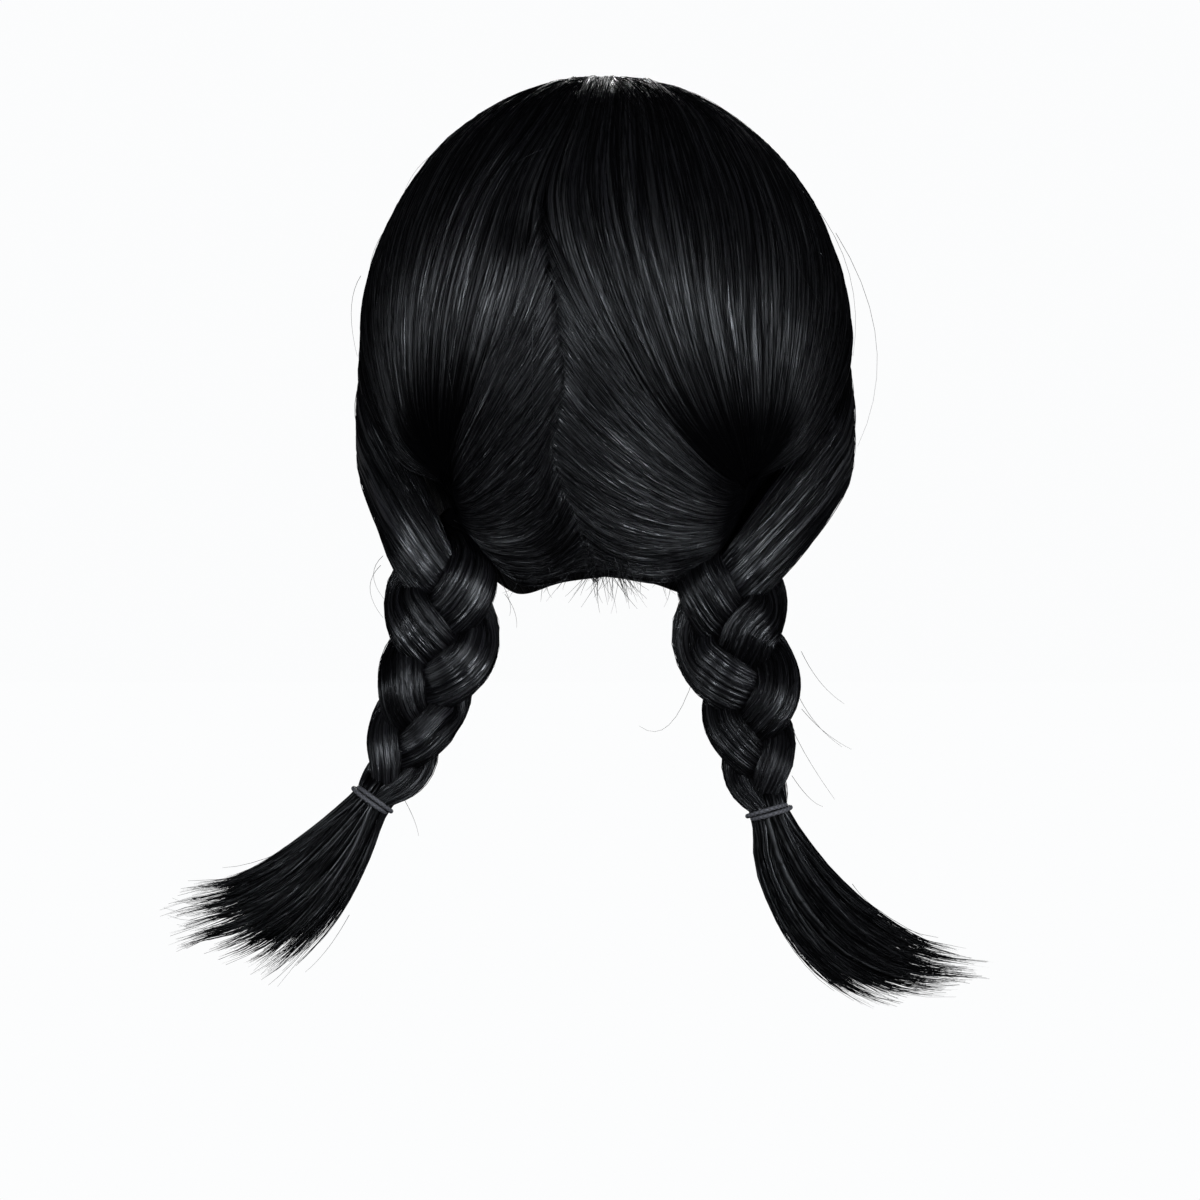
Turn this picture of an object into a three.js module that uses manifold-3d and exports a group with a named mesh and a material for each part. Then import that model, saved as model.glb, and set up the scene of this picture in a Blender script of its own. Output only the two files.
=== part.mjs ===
// A wig with a centre part and two short plaits, each tied with a doubled elastic above a frayed tail.
// Millimetres, +Z up. The face looks to -Y and +X is the wearer's left.
// The origin is the top of the hollow, where the wig bears on a head.
import * as THREE from "three";
import { mergeVertices } from "three/addons/utils/BufferGeometryUtils.js";
import Module from "manifold-3d";

// The hollow that takes the head. Rise and fall are measured from its widest level.
const HEAD_HALF_WIDTH = 80;
const HEAD_HALF_DEPTH = 97;
const HEAD_RISE = 101.5;
const HEAD_FALL = 123;

// The hair over it, from the hollow to the outer face.
const HAIR_ON_TOP = 14;
const HAIR_AT_SIDE = 23.5;
const HAIR_AT_BACK = 14;
const HAIR_AT_FACE = 9;
const HAIR_BELOW = 7;
const RIM_WALL = 5;

// What shapes the outer face of the crown.
const PART_DEPTH = 2.4;
const FRONT_PART_DEPTH = 2;
const POCKET_DEPTH = 6;
const POCKET_WIDTH = 13;
const POCKET_HEIGHT = 22;
const TUCK_DEPTH = 11;
const TUCK_BLEND = 9;

// The plaits.
const PLAIT_WIDTH = 50;
const PLAIT_DEPTH = 32;
const PLAIT_TOP = 181;
const PLAIT_BACK = 50;
const LEFT_PLAIT_OUT = 71;
const LEFT_PLAIT_DROP = 109;
const RIGHT_PLAIT_OUT = 55;
const RIGHT_PLAIT_DROP = 114;
const FRONT_LOCK_WIDTH = 44;
const FRONT_LOCK_THICKNESS = 17;
const ROOT_SINK = 13;

// The elastics.
const ELASTIC_THICKNESS = 2;
const BUNDLE_RADIUS = 7;

// The tails.
const LEFT_TAIL_LENGTH = 95;
const LEFT_TAIL_WIDTH = 44;
const RIGHT_TAIL_LENGTH = 115;
const RIGHT_TAIL_WIDTH = 38;
const TAIL_DEPTH = 18;

// The space kept between neighbours.
const CLEARANCE = 0.3;

// Gaps closer than this are merged before a cut.
const MERGE_DISTANCE = 1e-4;

// How finely the faces are cut. Crowding packs the crown's columns towards the back.
const COLUMN_CROWDING = 1.25;
const CROWN_COLUMNS = 64;
const CROWN_ROWS = 18;
const HOLLOW_ROWS = 10;
const STRAND_SIDES = 8;
const STRAND_STEPS = 18;
const LOCK_STEPS = 6;
const ELASTIC_SIDES = 6;
const ELASTIC_STEPS = 36;
const TAIL_LOCK_SIDES = 6;
const TAIL_STEPS = 6;

// Where on the way from the top to the hairline the hair starts to thin.
const THINNING = 0.84;

const WIDEST_LEVEL = -HEAD_RISE;
const HAIR_HEIGHT = HEAD_RISE + HAIR_ON_TOP;
const HALF_WIDTH = HEAD_HALF_WIDTH + HAIR_AT_SIDE;

// The hairline: how far it lies from straight up, in degrees, by the turn from the back round to the face.
const HAIRLINE = [
  { turn: 0, tilt: 138 },
  { turn: 18, tilt: 139.5 },
  { turn: 46, tilt: 143 },
  { turn: 60, tilt: 137 },
  { turn: 74, tilt: 126 },
  { turn: 90, tilt: 117 },
  { turn: 110, tilt: 103 },
  { turn: 130, tilt: 80 },
  { turn: 155, tilt: 62 },
  { turn: 180, tilt: 58 },
];

// The part down the back: its tilt from straight up, and how far it wanders to the left, as a share of the half
// width.
const PART = [
  { tilt: 0, aside: 0 },
  { tilt: 35, aside: 0.1 },
  { tilt: 57, aside: 0.26 },
  { tilt: 80, aside: 0.173 },
  { tilt: 92, aside: 0.16 },
  { tilt: 103, aside: 0.217 },
  { tilt: 116, aside: 0.15 },
  { tilt: 140, aside: 0.05 },
];

// The edge of the side section, over the front lock: its fall below the widest level as a share of HEAD_FALL.
const SECTION_EDGE = {
  left: [
    { turn: 40, fall: 0.62 },
    { turn: 54, fall: 0.48 },
    { turn: 72, fall: 0.26 },
    { turn: 90, fall: 0.08 },
    { turn: 110, fall: -0.08 },
    { turn: 128, fall: -0.3 },
  ],
  right: [
    { turn: 40, fall: 0.58 },
    { turn: 54, fall: 0.4 },
    { turn: 72, fall: 0.16 },
    { turn: 90, fall: -0.02 },
    { turn: 110, fall: -0.14 },
    { turn: 128, fall: -0.32 },
  ],
};

// The front lock on its way from the temple to the plait: place on the crown, and size as shares of the lock's
// own.
const FRONT_LOCK = [
  { turn: 128, fall: -0.2, wide: 0.5, thick: 0.35 },
  { turn: 112, fall: 0.02, wide: 0.85, thick: 0.6 },
  { turn: 96, fall: 0.2, wide: 1, thick: 0.85 },
  { turn: 80, fall: 0.37, wide: 0.94, thick: 1.08 },
  { turn: 66, fall: 0.53, wide: 0.76, thick: 1.25 },
];

// A plait's size on its way down, as shares of its width and depth.
const PLAIT_FORM = [
  { run: 0, wide: 1, deep: 1 },
  { run: 0.2, wide: 1.02, deep: 1 },
  { run: 0.45, wide: 0.97, deep: 0.97 },
  { run: 0.6, wide: 0.86, deep: 0.88 },
  { run: 0.75, wide: 0.68, deep: 0.74 },
  { run: 0.87, wide: 0.5, deep: 0.6 },
  { run: 0.97, wide: 0.27, deep: 0.41 },
  { run: 1, wide: 0.25, deep: 0.38 },
];

// The lock tips of a tail: place across and through the fan, length and thickness as shares of the tail's.
const TAIL_LOCKS = [
  { across: -0.95, through: 0.1, reach: 0.9, thick: 0.62 },
  { across: -0.68, through: -0.5, reach: 1, thick: 0.8 },
  { across: -0.42, through: 0.5, reach: 0.93, thick: 0.9 },
  { across: -0.12, through: -0.3, reach: 1, thick: 1 },
  { across: 0.16, through: 0.45, reach: 0.88, thick: 1 },
  { across: 0.44, through: -0.45, reach: 0.94, thick: 0.9 },
  { across: 0.7, through: 0.4, reach: 0.82, thick: 0.8 },
  { across: 0.97, through: -0.1, reach: 0.8, thick: 0.62 },
];

// Half a lock's size, as shares of the fan's width and of half its depth, and how much of that depth they use.
const LOCK_SHARE = { wide: 0.2, deep: 0.62, through: 0.8 };
// Where along a tail its locks have opened to their full size, and how much of its section a lock loses by the
// tip.
const FULLY_OPEN = 0.3;
const TAPER = 0.97;

// The head of a tail: run along it as a share of its length, and size as a share of the bundle.
const TAIL_HEAD = [
  { run: -0.02, size: 0.95 },
  { run: 0.07, size: 1 },
  { run: 0.17, size: 1.15 },
  { run: 0.3, size: 0.5 },
];

// The two sides. Plait rows: run down the plait, and way out, as shares of its drop.
// Tail rows: run along the tail, way out and down as shares of its length, and fan as a share of its width.
const SIDES = {
  left: {
    name: "left",
    sign: 1,
    edge: SECTION_EDGE.left,
    pocket: { out: 0.69, fall: 0.56 },
    plaitOut: LEFT_PLAIT_OUT,
    plaitDrop: LEFT_PLAIT_DROP,
    plait: [
      { run: -0.15, out: 0.02 },
      { run: 0, out: 0 },
      { run: 0.2, out: -0.023 },
      { run: 0.4, out: -0.023 },
      { run: 0.52, out: 0.012 },
      { run: 0.64, out: 0.07 },
      { run: 0.75, out: 0.1 },
      { run: 0.87, out: 0.15 },
      { run: 1, out: 0.243 },
    ],
    tailLength: LEFT_TAIL_LENGTH,
    tailWidth: LEFT_TAIL_WIDTH,
    tail: [
      { run: 0, out: 0, down: 0, fan: 0.31 },
      { run: 0.045, out: 0.027, down: 0.036, fan: 0.31 },
      { run: 0.27, out: 0.16, down: 0.22, fan: 0.66 },
      { run: 0.53, out: 0.34, down: 0.41, fan: 0.9 },
      { run: 0.78, out: 0.55, down: 0.55, fan: 1.02 },
      { run: 1, out: 0.76, down: 0.63, fan: 1.12 },
    ],
  },
  right: {
    name: "right",
    sign: -1,
    edge: SECTION_EDGE.right,
    pocket: { out: 0.62, fall: 0.52 },
    plaitOut: RIGHT_PLAIT_OUT,
    plaitDrop: RIGHT_PLAIT_DROP,
    plait: [
      { run: -0.15, out: 0.03 },
      { run: 0, out: 0 },
      { run: 0.185, out: -0.02 },
      { run: 0.33, out: -0.035 },
      { run: 0.45, out: 0.006 },
      { run: 0.56, out: 0.046 },
      { run: 0.67, out: 0.05 },
      { run: 0.88, out: 0.083 },
      { run: 1, out: 0.117 },
    ],
    tailLength: RIGHT_TAIL_LENGTH,
    tailWidth: RIGHT_TAIL_WIDTH,
    tail: [
      { run: 0, out: 0, down: 0, fan: 0.36 },
      { run: 0.04, out: 0.013, down: 0.038, fan: 0.36 },
      { run: 0.19, out: 0.062, down: 0.18, fan: 0.68 },
      { run: 0.38, out: 0.161, down: 0.34, fan: 0.88 },
      { run: 0.58, out: 0.3, down: 0.48, fan: 0.95 },
      { run: 0.8, out: 0.5, down: 0.58, fan: 0.8 },
      { run: 1, out: 0.7, down: 0.6, fan: 0.5 },
    ],
  },
};

// The three strands of a plait: how far round its own path each one starts, where on the plait its root lies,
// and whether the root sinks in under the crown.
const STRANDS = {
  front: { phase: 0, root: 0.06, sinks: 0 },
  nape: { phase: 2 / 3, root: -0.1, sinks: 1 },
  side: { phase: 4 / 3, root: -0.13, sinks: 1 },
};
// The stretch over which a sunk root comes up, as a share of the plait's drop, and the root's blunt tip, as a
// share of the first step.
const ROOT_RUN = 0.16;
const ROOT_TIP = 0.2;
// The share of a run over which its heading is read.
const STEP_SHARE = 0.02;
// How far past the elastic's middle the strands run before they are cut to length, as a share of the drop.
const STRAND_END = 1.03;
// Half turns of the strands' path: at the top of the plait, added down it, and added late, where it tightens.
const WEAVE = { start: 0.66, even: 2.25, late: 0.25 };
// How far a strand's face leans outwards at the plait's edge.
const FACE_LEAN = 0.7;
// Shares of the plait's width and depth: how far a strand's middle swings, and half its own size.
const WEAVE_SHARE = { swing: 0.27, halfWide: 0.235, weave: 0.27, halfThick: 0.235 };

const wasm = await Module();
wasm.setup();

const radians = THREE.MathUtils.degToRad;
const { lerp, clamp, smoothstep } = THREE.MathUtils;

/** The value of a column part way down a table, on a smooth curve through its rows. */
function along(rows, key, column, at) {
  const last = rows.length - 1;
  let i = 0;
  while (i < last - 1 && at > rows[i + 1][key]) i++;
  const slope = (k) => {
    const before = rows[Math.max(k - 1, 0)];
    const after = rows[Math.min(k + 1, last)];
    return (after[column] - before[column]) / (after[key] - before[key]);
  };
  const span = rows[i + 1][key] - rows[i][key];
  const t = clamp((at - rows[i][key]) / span, 0, 1);
  const rise = rows[i + 1][column] - rows[i][column];
  const ease = t * t * (3 - 2 * t);
  const leave = t * (1 - t) * (1 - t) * slope(i) * span;
  const arrive = t * t * (1 - t) * slope(i + 1) * span;
  return rows[i][column] + ease * rise + leave - arrive;
}

/** A closed mesh from its points and triangles. */
function meshGeometry(points, triangles) {
  const geometry = new THREE.BufferGeometry();
  geometry.setAttribute("position", new THREE.Float32BufferAttribute(points.flatMap((p) => p.toArray()), 3));
  geometry.setIndex(triangles);
  return geometry;
}

/** Two triangles for each cell between rings of equal count. The rings close on themselves. */
function bandTriangles(rings, count, first = 0) {
  const triangles = [];
  for (let ring = 0; ring < rings - 1; ring++)
    for (let k = 0; k < count; k++) {
      const a = first + ring * count + k;
      const b = first + ring * count + ((k + 1) % count);
      triangles.push(a, b, a + count, b, b + count, a + count);
    }
  return triangles;
}

/** A solid of the boolean library from a geometry with merged vertices. */
function solidOf(geometry) {
  const merged = mergeVertices(geometry, MERGE_DISTANCE);
  return new wasm.Manifold(
    new wasm.Mesh({
      numProp: 3,
      vertProperties: new Float32Array(merged.attributes.position.array),
      triVerts: new Uint32Array(merged.index.array),
    }),
  );
}

/** The geometry of a solid of the boolean library. */
function geometryOf(solid) {
  const { vertProperties, triVerts } = solid.getMesh();
  const geometry = new THREE.BufferGeometry();
  geometry.setAttribute("position", new THREE.Float32BufferAttribute(vertProperties, 3));
  geometry.setIndex([...triVerts]);
  return geometry;
}

/** The largest body of a solid, without crumbs that a cut leaves. */
function mainBody(solid) {
  return solid.decompose().reduce((most, body) => (body.volume() > most.volume() ? body : most));
}

/** A closed sweep of oval sections. A station has a centre and two half axes, wide and thick. */
function sweep(stations, sides) {
  const points = [];
  for (const { centre, wide, thick } of stations)
    for (let k = 0; k < sides; k++) {
      const angle = (2 * Math.PI * k) / sides;
      points.push(
        centre.clone().addScaledVector(wide, Math.cos(angle)).addScaledVector(thick, Math.sin(angle)),
      );
    }
  const triangles = bandTriangles(stations.length, sides);
  const last = stations[stations.length - 1];
  const ends = [stations[0], last].map(({ centre }) => points.push(centre.clone()) - 1);
  const lastRing = (stations.length - 1) * sides;
  for (let k = 0; k < sides; k++) {
    const next = (k + 1) % sides;
    triangles.push(ends[0], next, k);
    triangles.push(ends[1], lastRing + k, lastRing + next);
  }
  return meshGeometry(points, triangles);
}

/** Stations along a route: each has a centre, the way its flat face looks, and two half sizes. */
function stationsOf(route, grow = 0) {
  return route.map(({ centre, face, halfWide, halfThick }, i) => {
    const before = route[Math.max(i - 1, 0)].centre;
    const after = route[Math.min(i + 1, route.length - 1)].centre;
    const tangent = after.clone().sub(before).normalize();
    const wide = tangent.clone().cross(face).normalize();
    const thick = wide.clone().cross(tangent).normalize();
    return {
      centre: centre.clone(),
      wide: wide.multiplyScalar(halfWide + grow),
      thick: thick.multiplyScalar(-halfThick - grow),
    };
  });
}

/** A point on an egg about the widest level: turn from the back, tilt from straight up. */
function eggPoint(turn, tilt, halfWidth, halfDepth, rise, fall) {
  const height = Math.cos(radians(tilt));
  const reach = Math.sin(radians(tilt));
  return new THREE.Vector3(
    halfWidth * reach * Math.sin(radians(turn)),
    halfDepth * reach * Math.cos(radians(turn)),
    WIDEST_LEVEL + height * (height > 0 ? rise : fall),
  );
}

/** A point on the hollow. */
function hollowPoint(turn, tilt) {
  return eggPoint(turn, tilt, HEAD_HALF_WIDTH, HEAD_HALF_DEPTH, HEAD_RISE, HEAD_FALL);
}

/** A point on the plain egg of hair, before the part, hollows and tucks. */
function hairPoint(turn, tilt) {
  const faceShare = (1 - Math.cos(radians(turn))) / 2;
  const hair = lerp(HAIR_AT_BACK, HAIR_AT_FACE, faceShare);
  return eggPoint(turn, tilt, HALF_WIDTH, HEAD_HALF_DEPTH + hair, HAIR_HEIGHT, HEAD_FALL + HAIR_BELOW);
}

/** The side of the head that a turn lies on. */
const sideOf = (turn) => (turn < 0 ? SIDES.right : SIDES.left);

/** The tilt of the hairline at a turn. */
const hairlineTilt = (turn) => along(HAIRLINE, "turn", "tilt", Math.abs(turn));

/** How far a fall below the widest level tilts, on the outer face. */
function tiltOfFall(fall) {
  const drop = fall * HEAD_FALL;
  return 90 + THREE.MathUtils.radToDeg(Math.asin(drop / (drop > 0 ? HEAD_FALL + HAIR_BELOW : HAIR_HEIGHT)));
}

/** How much of the tuck under the side section a place has, from 0 to 1. */
function tuckShare(turn, tilt) {
  const aside = Math.abs(turn);
  const rows = sideOf(turn).edge;
  const edge = tiltOfFall(along(rows, "turn", "fall", aside));
  const below = smoothstep(tilt, edge, edge + TUCK_BLEND);
  const behind = smoothstep(aside, rows[0].turn, rows[1].turn);
  const before = 1 - smoothstep(aside, rows[rows.length - 2].turn, rows[rows.length - 1].turn + TUCK_BLEND);
  return below * behind * before;
}

/** How deep the outer face lies under the plain egg of hair. */
function dentAt(point, turn, tilt, column) {
  const side = sideOf(turn);
  const pocketOut = side.sign * side.pocket.out * HALF_WIDTH;
  const pocketLevel = WIDEST_LEVEL - side.pocket.fall * HEAD_FALL;
  const across = (point.x - pocketOut) / POCKET_WIDTH;
  const down = (point.z - pocketLevel) / POCKET_HEIGHT;
  const behind = point.y > 0 ? 1 : 0;
  const pocket = POCKET_DEPTH * behind * Math.exp(-across * across - down * down);
  const tuck = TUCK_DEPTH * tuckShare(turn, tilt);
  const backPart = column === 0 ? PART_DEPTH * smoothstep(tilt, PART[1].tilt, PART[2].tilt) : 0;
  const frontPart = column === CROWN_COLUMNS / 2 ? FRONT_PART_DEPTH * smoothstep(tilt, 0, PART[1].tilt) : 0;
  return Math.max(pocket, tuck) + backPart + frontPart;
}

/** The turn of a column of the crown's mesh. Columns crowd at the back, and the middle one follows the part. */
function columnTurn(column, tilt) {
  const share = (column > CROWN_COLUMNS / 2 ? column - CROWN_COLUMNS : column) / (CROWN_COLUMNS / 2);
  const turn = 180 * Math.sign(share) * Math.abs(share) ** COLUMN_CROWDING;
  const reach = Math.max(Math.sin(radians(tilt)), Math.sin(radians(PART[1].tilt)));
  const part = THREE.MathUtils.radToDeg(Math.asin(along(PART, "tilt", "aside", tilt) / reach));
  return turn + part * (1 - Math.abs(turn) / 180) ** 2;
}

/** Where a column of the mesh lies at a share of its way from the top to the hairline. */
function columnPlace(column, share) {
  const near = columnTurn(column, share * hairlineTilt(columnTurn(column, 90)));
  const tilt = share * hairlineTilt(near);
  return { turn: columnTurn(column, tilt), tilt };
}

/** The way from the middle of the head, at its widest level, to a point. */
const outwardTo = (point) => point.clone().sub(new THREE.Vector3(0, 0, WIDEST_LEVEL)).normalize();

/** A point on the outer face of the crown. Near the hairline the hair thins to the rim's wall. */
function outerPoint(column, share, grow) {
  const { turn, tilt } = columnPlace(column, share);
  const hair = hairPoint(turn, tilt);
  const outward = outwardTo(hair);
  hair.addScaledVector(outward, -dentAt(hair, turn, tilt, column));
  const rim = hollowPoint(turn, tilt).addScaledVector(outward, RIM_WALL);
  const extra = grow * (share === 1 ? 2 : 1);
  const thin = smoothstep(share, THINNING, 1);
  return hair.lerp(rim, thin * thin).addScaledVector(outward, extra);
}

/** A point on the inner face of the crown. */
function innerPoint(column, share, grow) {
  const { turn, tilt } = columnPlace(column, share);
  const hollow = hollowPoint(turn, tilt);
  return hollow.addScaledVector(outwardTo(hollow), -grow);
}

/** The crown: a closed shell of hair. Grown on both faces, it cuts its neighbours clear. */
function crownGeometry(grow = 0) {
  const points = [new THREE.Vector3(0, 0, HAIR_ON_TOP + grow)];
  for (let row = 1; row <= CROWN_ROWS; row++)
    for (let column = 0; column < CROWN_COLUMNS; column++)
      points.push(outerPoint(column, row / CROWN_ROWS, grow));
  const rings = CROWN_ROWS + HOLLOW_ROWS;
  for (let row = HOLLOW_ROWS; row > 0; row--)
    for (let column = 0; column < CROWN_COLUMNS; column++)
      points.push(innerPoint(column, row / HOLLOW_ROWS, grow));
  const triangles = bandTriangles(rings, CROWN_COLUMNS, 1);
  const last = points.push(new THREE.Vector3(0, 0, -grow)) - 1;
  const lastRing = 1 + (rings - 1) * CROWN_COLUMNS;
  for (let column = 0; column < CROWN_COLUMNS; column++) {
    const next = (column + 1) % CROWN_COLUMNS;
    triangles.push(0, 1 + next, 1 + column);
    triangles.push(last, lastRing + column, lastRing + next);
  }
  return meshGeometry(points, triangles);
}

/** The middle of a plait and its own directions at a share of its run. */
function plaitMiddle(side, run) {
  const at = (share) =>
    new THREE.Vector3(
      side.sign * (side.plaitOut + side.plaitDrop * along(side.plait, "run", "out", share)),
      PLAIT_BACK,
      -PLAIT_TOP - side.plaitDrop * share,
    );
  const place = Math.min(run, 1);
  const down = at(place).sub(at(place - STEP_SHARE)).normalize();
  const back = new THREE.Vector3(0, 1, 0);
  const out = back.clone().cross(down).multiplyScalar(-side.sign).normalize();
  const centre = at(place).addScaledVector(down, (run - place) * side.plaitDrop);
  return { centre, down, back, out };
}

/** One station of a strand's route in the plait. */
function weaveStation(side, strand, run) {
  const { centre, back, out } = plaitMiddle(side, run);
  const place = clamp(run, 0, 1);
  const wide = PLAIT_WIDTH * along(PLAIT_FORM, "run", "wide", place);
  const deep = PLAIT_DEPTH * along(PLAIT_FORM, "run", "deep", place);
  const turns = WEAVE.start + strand.phase + WEAVE.even * run + WEAVE.late * run * Math.abs(run);
  const angle = Math.PI * turns;
  const aside = Math.sin(angle);
  const sink = ROOT_SINK * (1 - smoothstep(run, strand.root, strand.root + ROOT_RUN));
  return {
    centre: centre
      .addScaledVector(out, WEAVE_SHARE.swing * wide * aside)
      .addScaledVector(back, -WEAVE_SHARE.weave * deep * Math.sin(2 * angle) - strand.sinks * sink),
    face: back.clone().addScaledVector(out, FACE_LEAN * aside).normalize(),
    halfWide: WEAVE_SHARE.halfWide * wide,
    halfThick: WEAVE_SHARE.halfThick * deep,
  };
}

/** One station of the front lock on the crown. */
function lockStation(side, share) {
  const rows = FRONT_LOCK.map((row, i) => ({ ...row, share: i / (FRONT_LOCK.length - 1) }));
  const turn = side.sign * along(rows, "share", "turn", share);
  const tilt = tiltOfFall(along(rows, "share", "fall", share));
  const halfWide = (FRONT_LOCK_WIDTH / 2) * along(rows, "share", "wide", share);
  const halfThick = (FRONT_LOCK_THICKNESS / 2) * along(rows, "share", "thick", share);
  const hair = hairPoint(turn, tilt);
  const face = new THREE.Vector3(hair.x, hair.y, 0).normalize();
  return {
    centre: hair.addScaledVector(face, halfThick + CLEARANCE - TUCK_DEPTH * tuckShare(turn, tilt)),
    face,
    halfWide,
    halfThick,
  };
}

/** The whole route of a strand, from its root past the elastic. */
function strandRoute(side, name) {
  const strand = STRANDS[name];
  const route = [];
  for (let i = 0; name === "front" && i < LOCK_STEPS; i++)
    route.push(lockStation(side, i / (LOCK_STEPS - 1)));
  for (let i = 0; i <= STRAND_STEPS; i++)
    route.push(weaveStation(side, strand, lerp(strand.root, STRAND_END, i / STRAND_STEPS)));
  const [root, next] = route;
  route.unshift({
    ...root,
    centre: root.centre.clone().lerp(next.centre, -ROOT_TIP),
    halfWide: root.halfWide / 2,
    halfThick: root.halfThick / 2,
  });
  return route;
}

/** What lies on one side of the plane through the middle of an elastic: above it with -1, below it with 1. */
function besideTie(solid, side, way) {
  const { centre, down } = plaitMiddle(side, 1);
  const normal = down.multiplyScalar(way);
  return solid.trimByPlane(normal.toArray(), normal.dot(centre) + CLEARANCE / 2);
}

/** The three strands of a side, each cut clear of the crown and of the strands before it. */
function strandSolids(side, crown) {
  const cutters = [crown];
  const solids = {};
  for (const name of Object.keys(STRANDS)) {
    const route = strandRoute(side, name);
    const whole = solidOf(sweep(stationsOf(route), STRAND_SIDES));
    const cut = cutters.reduce((solid, cutter) => solid.subtract(cutter), whole);
    solids[name] = mainBody(besideTie(cut, side, -1));
    cutters.push(whole, solidOf(sweep(stationsOf(route, CLEARANCE), STRAND_SIDES)));
  }
  return solids;
}

/** The elastic: one loop wound twice, its turns side by side at the back and one over the other in front. */
function elasticGeometry(side) {
  const { centre, down, back, out } = plaitMiddle(side, 1);
  const radius = ELASTIC_THICKNESS / 2;
  const spacing = radius + CLEARANCE / 2;
  const inner = BUNDLE_RADIUS + radius + CLEARANCE + spacing / 4;
  const middle = (step) => {
    const angle = (4 * Math.PI * step) / ELASTIC_STEPS + Math.PI / 2;
    const half = angle / 2 + Math.PI / 4;
    const reach = inner + spacing * (Math.cos(half) ** 2 + Math.cos(half));
    return centre
      .clone()
      .addScaledVector(out, reach * Math.cos(angle))
      .addScaledVector(back, reach * Math.sin(angle))
      .addScaledVector(down, spacing * Math.sin(half));
  };
  const points = [];
  for (let step = 0; step < ELASTIC_STEPS; step++) {
    const tangent = middle(step + 0.5).sub(middle(step - 0.5)).normalize();
    const across = tangent.clone().cross(down).normalize();
    const up = tangent.clone().cross(across);
    for (let k = 0; k < ELASTIC_SIDES; k++) {
      const angle = (2 * Math.PI * k) / ELASTIC_SIDES;
      points.push(
        middle(step)
          .addScaledVector(across, radius * Math.cos(angle))
          .addScaledVector(up, radius * Math.sin(angle)),
      );
    }
  }
  const count = points.length;
  const triangles = bandTriangles(ELASTIC_STEPS + 1, ELASTIC_SIDES).map((index) => index % count);
  return meshGeometry(points, triangles);
}

/** One tapering lock of a tail. */
function tailLock(side, lock) {
  const top = plaitMiddle(side, 1);
  const lean = (run) =>
    new THREE.Vector3(
      side.sign * side.tailLength * along(side.tail, "run", "out", run),
      0,
      -side.tailLength * along(side.tail, "run", "down", run),
    );
  const route = [];
  for (let i = 0; i <= TAIL_STEPS; i++) {
    const run = lerp(0, lock.reach, i / TAIL_STEPS);
    const heading = lean(run + STEP_SHARE).sub(lean(run - STEP_SHARE)).normalize();
    const down = top.down.clone().lerp(heading, smoothstep(run, 0, FULLY_OPEN / 2)).normalize();
    const out = top.back.clone().cross(down).multiplyScalar(-side.sign).normalize();
    const spread = side.tailWidth * along(side.tail, "run", "fan", run);
    const open = smoothstep(run, side.tail[1].run, FULLY_OPEN);
    const slim = Math.sqrt(1 - (TAPER * i) / TAIL_STEPS);
    const deep = lerp(BUNDLE_RADIUS, TAIL_DEPTH / 2, open);
    const halfWide = lerp(BUNDLE_RADIUS / 2, LOCK_SHARE.wide * spread * lock.thick, open) * slim;
    const halfThick = lerp(BUNDLE_RADIUS / 2, LOCK_SHARE.deep * deep * lock.thick, open) * slim;
    route.push({
      centre: top.centre
        .clone()
        .add(lean(run))
        .addScaledVector(out, -lock.across * (spread / 2 - halfWide))
        .addScaledVector(top.back, lock.through * (deep - halfThick) * LOCK_SHARE.through),
      face: top.back,
      halfWide,
      halfThick,
    });
  }
  return sweep(stationsOf(route), TAIL_LOCK_SIDES);
}

/** A tail: its head under the elastic, and the locks it parts into, fused. */
function tailSolid(side) {
  const { centre, down, back, out } = plaitMiddle(side, 1);
  const head = TAIL_HEAD.map(({ run, size }) => ({
    centre: centre.clone().addScaledVector(down, run * side.tailLength),
    wide: out.clone().multiplyScalar(BUNDLE_RADIUS * size),
    thick: back.clone().multiplyScalar(-side.sign * BUNDLE_RADIUS * size),
  }));
  const whole = TAIL_LOCKS.reduce(
    (solid, lock) => solid.add(solidOf(tailLock(side, lock))),
    solidOf(sweep(head, STRAND_SIDES)),
  );
  return besideTie(whole, side, 1);
}

const hairMaterial = new THREE.MeshStandardMaterial({ color: 0x0b0c0f, roughness: 0.38, metalness: 0 });
const elasticMaterial = new THREE.MeshStandardMaterial({ color: 0x121317, roughness: 0.7, metalness: 0 });

/** Adds a named piece to a group. */
function addPiece(group, name, geometry, material) {
  geometry.computeVertexNormals();
  const mesh = new THREE.Mesh(geometry, material);
  mesh.name = name;
  group.add(mesh);
}

const wig = new THREE.Group();
addPiece(wig, "crown", crownGeometry(), hairMaterial);
const crownCutter = [1, 2].reduce(
  (solid, times) => solid.add(solidOf(crownGeometry(times * CLEARANCE))),
  solidOf(crownGeometry()),
);
for (const side of Object.values(SIDES)) {
  const plait = new THREE.Group();
  for (const [name, solid] of Object.entries(strandSolids(side, crownCutter)))
    addPiece(plait, `${side.name}_strand_${name}`, geometryOf(solid), hairMaterial);
  addPiece(plait, `${side.name}_tie`, elasticGeometry(side), elasticMaterial);
  addPiece(plait, `${side.name}_tail`, geometryOf(tailSolid(side)), hairMaterial);
  wig.add(plait);
}

export default wig;
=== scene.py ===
import logging
import math
from dataclasses import dataclass
from enum import Enum
from typing import Any, NamedTuple, Sequence

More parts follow.
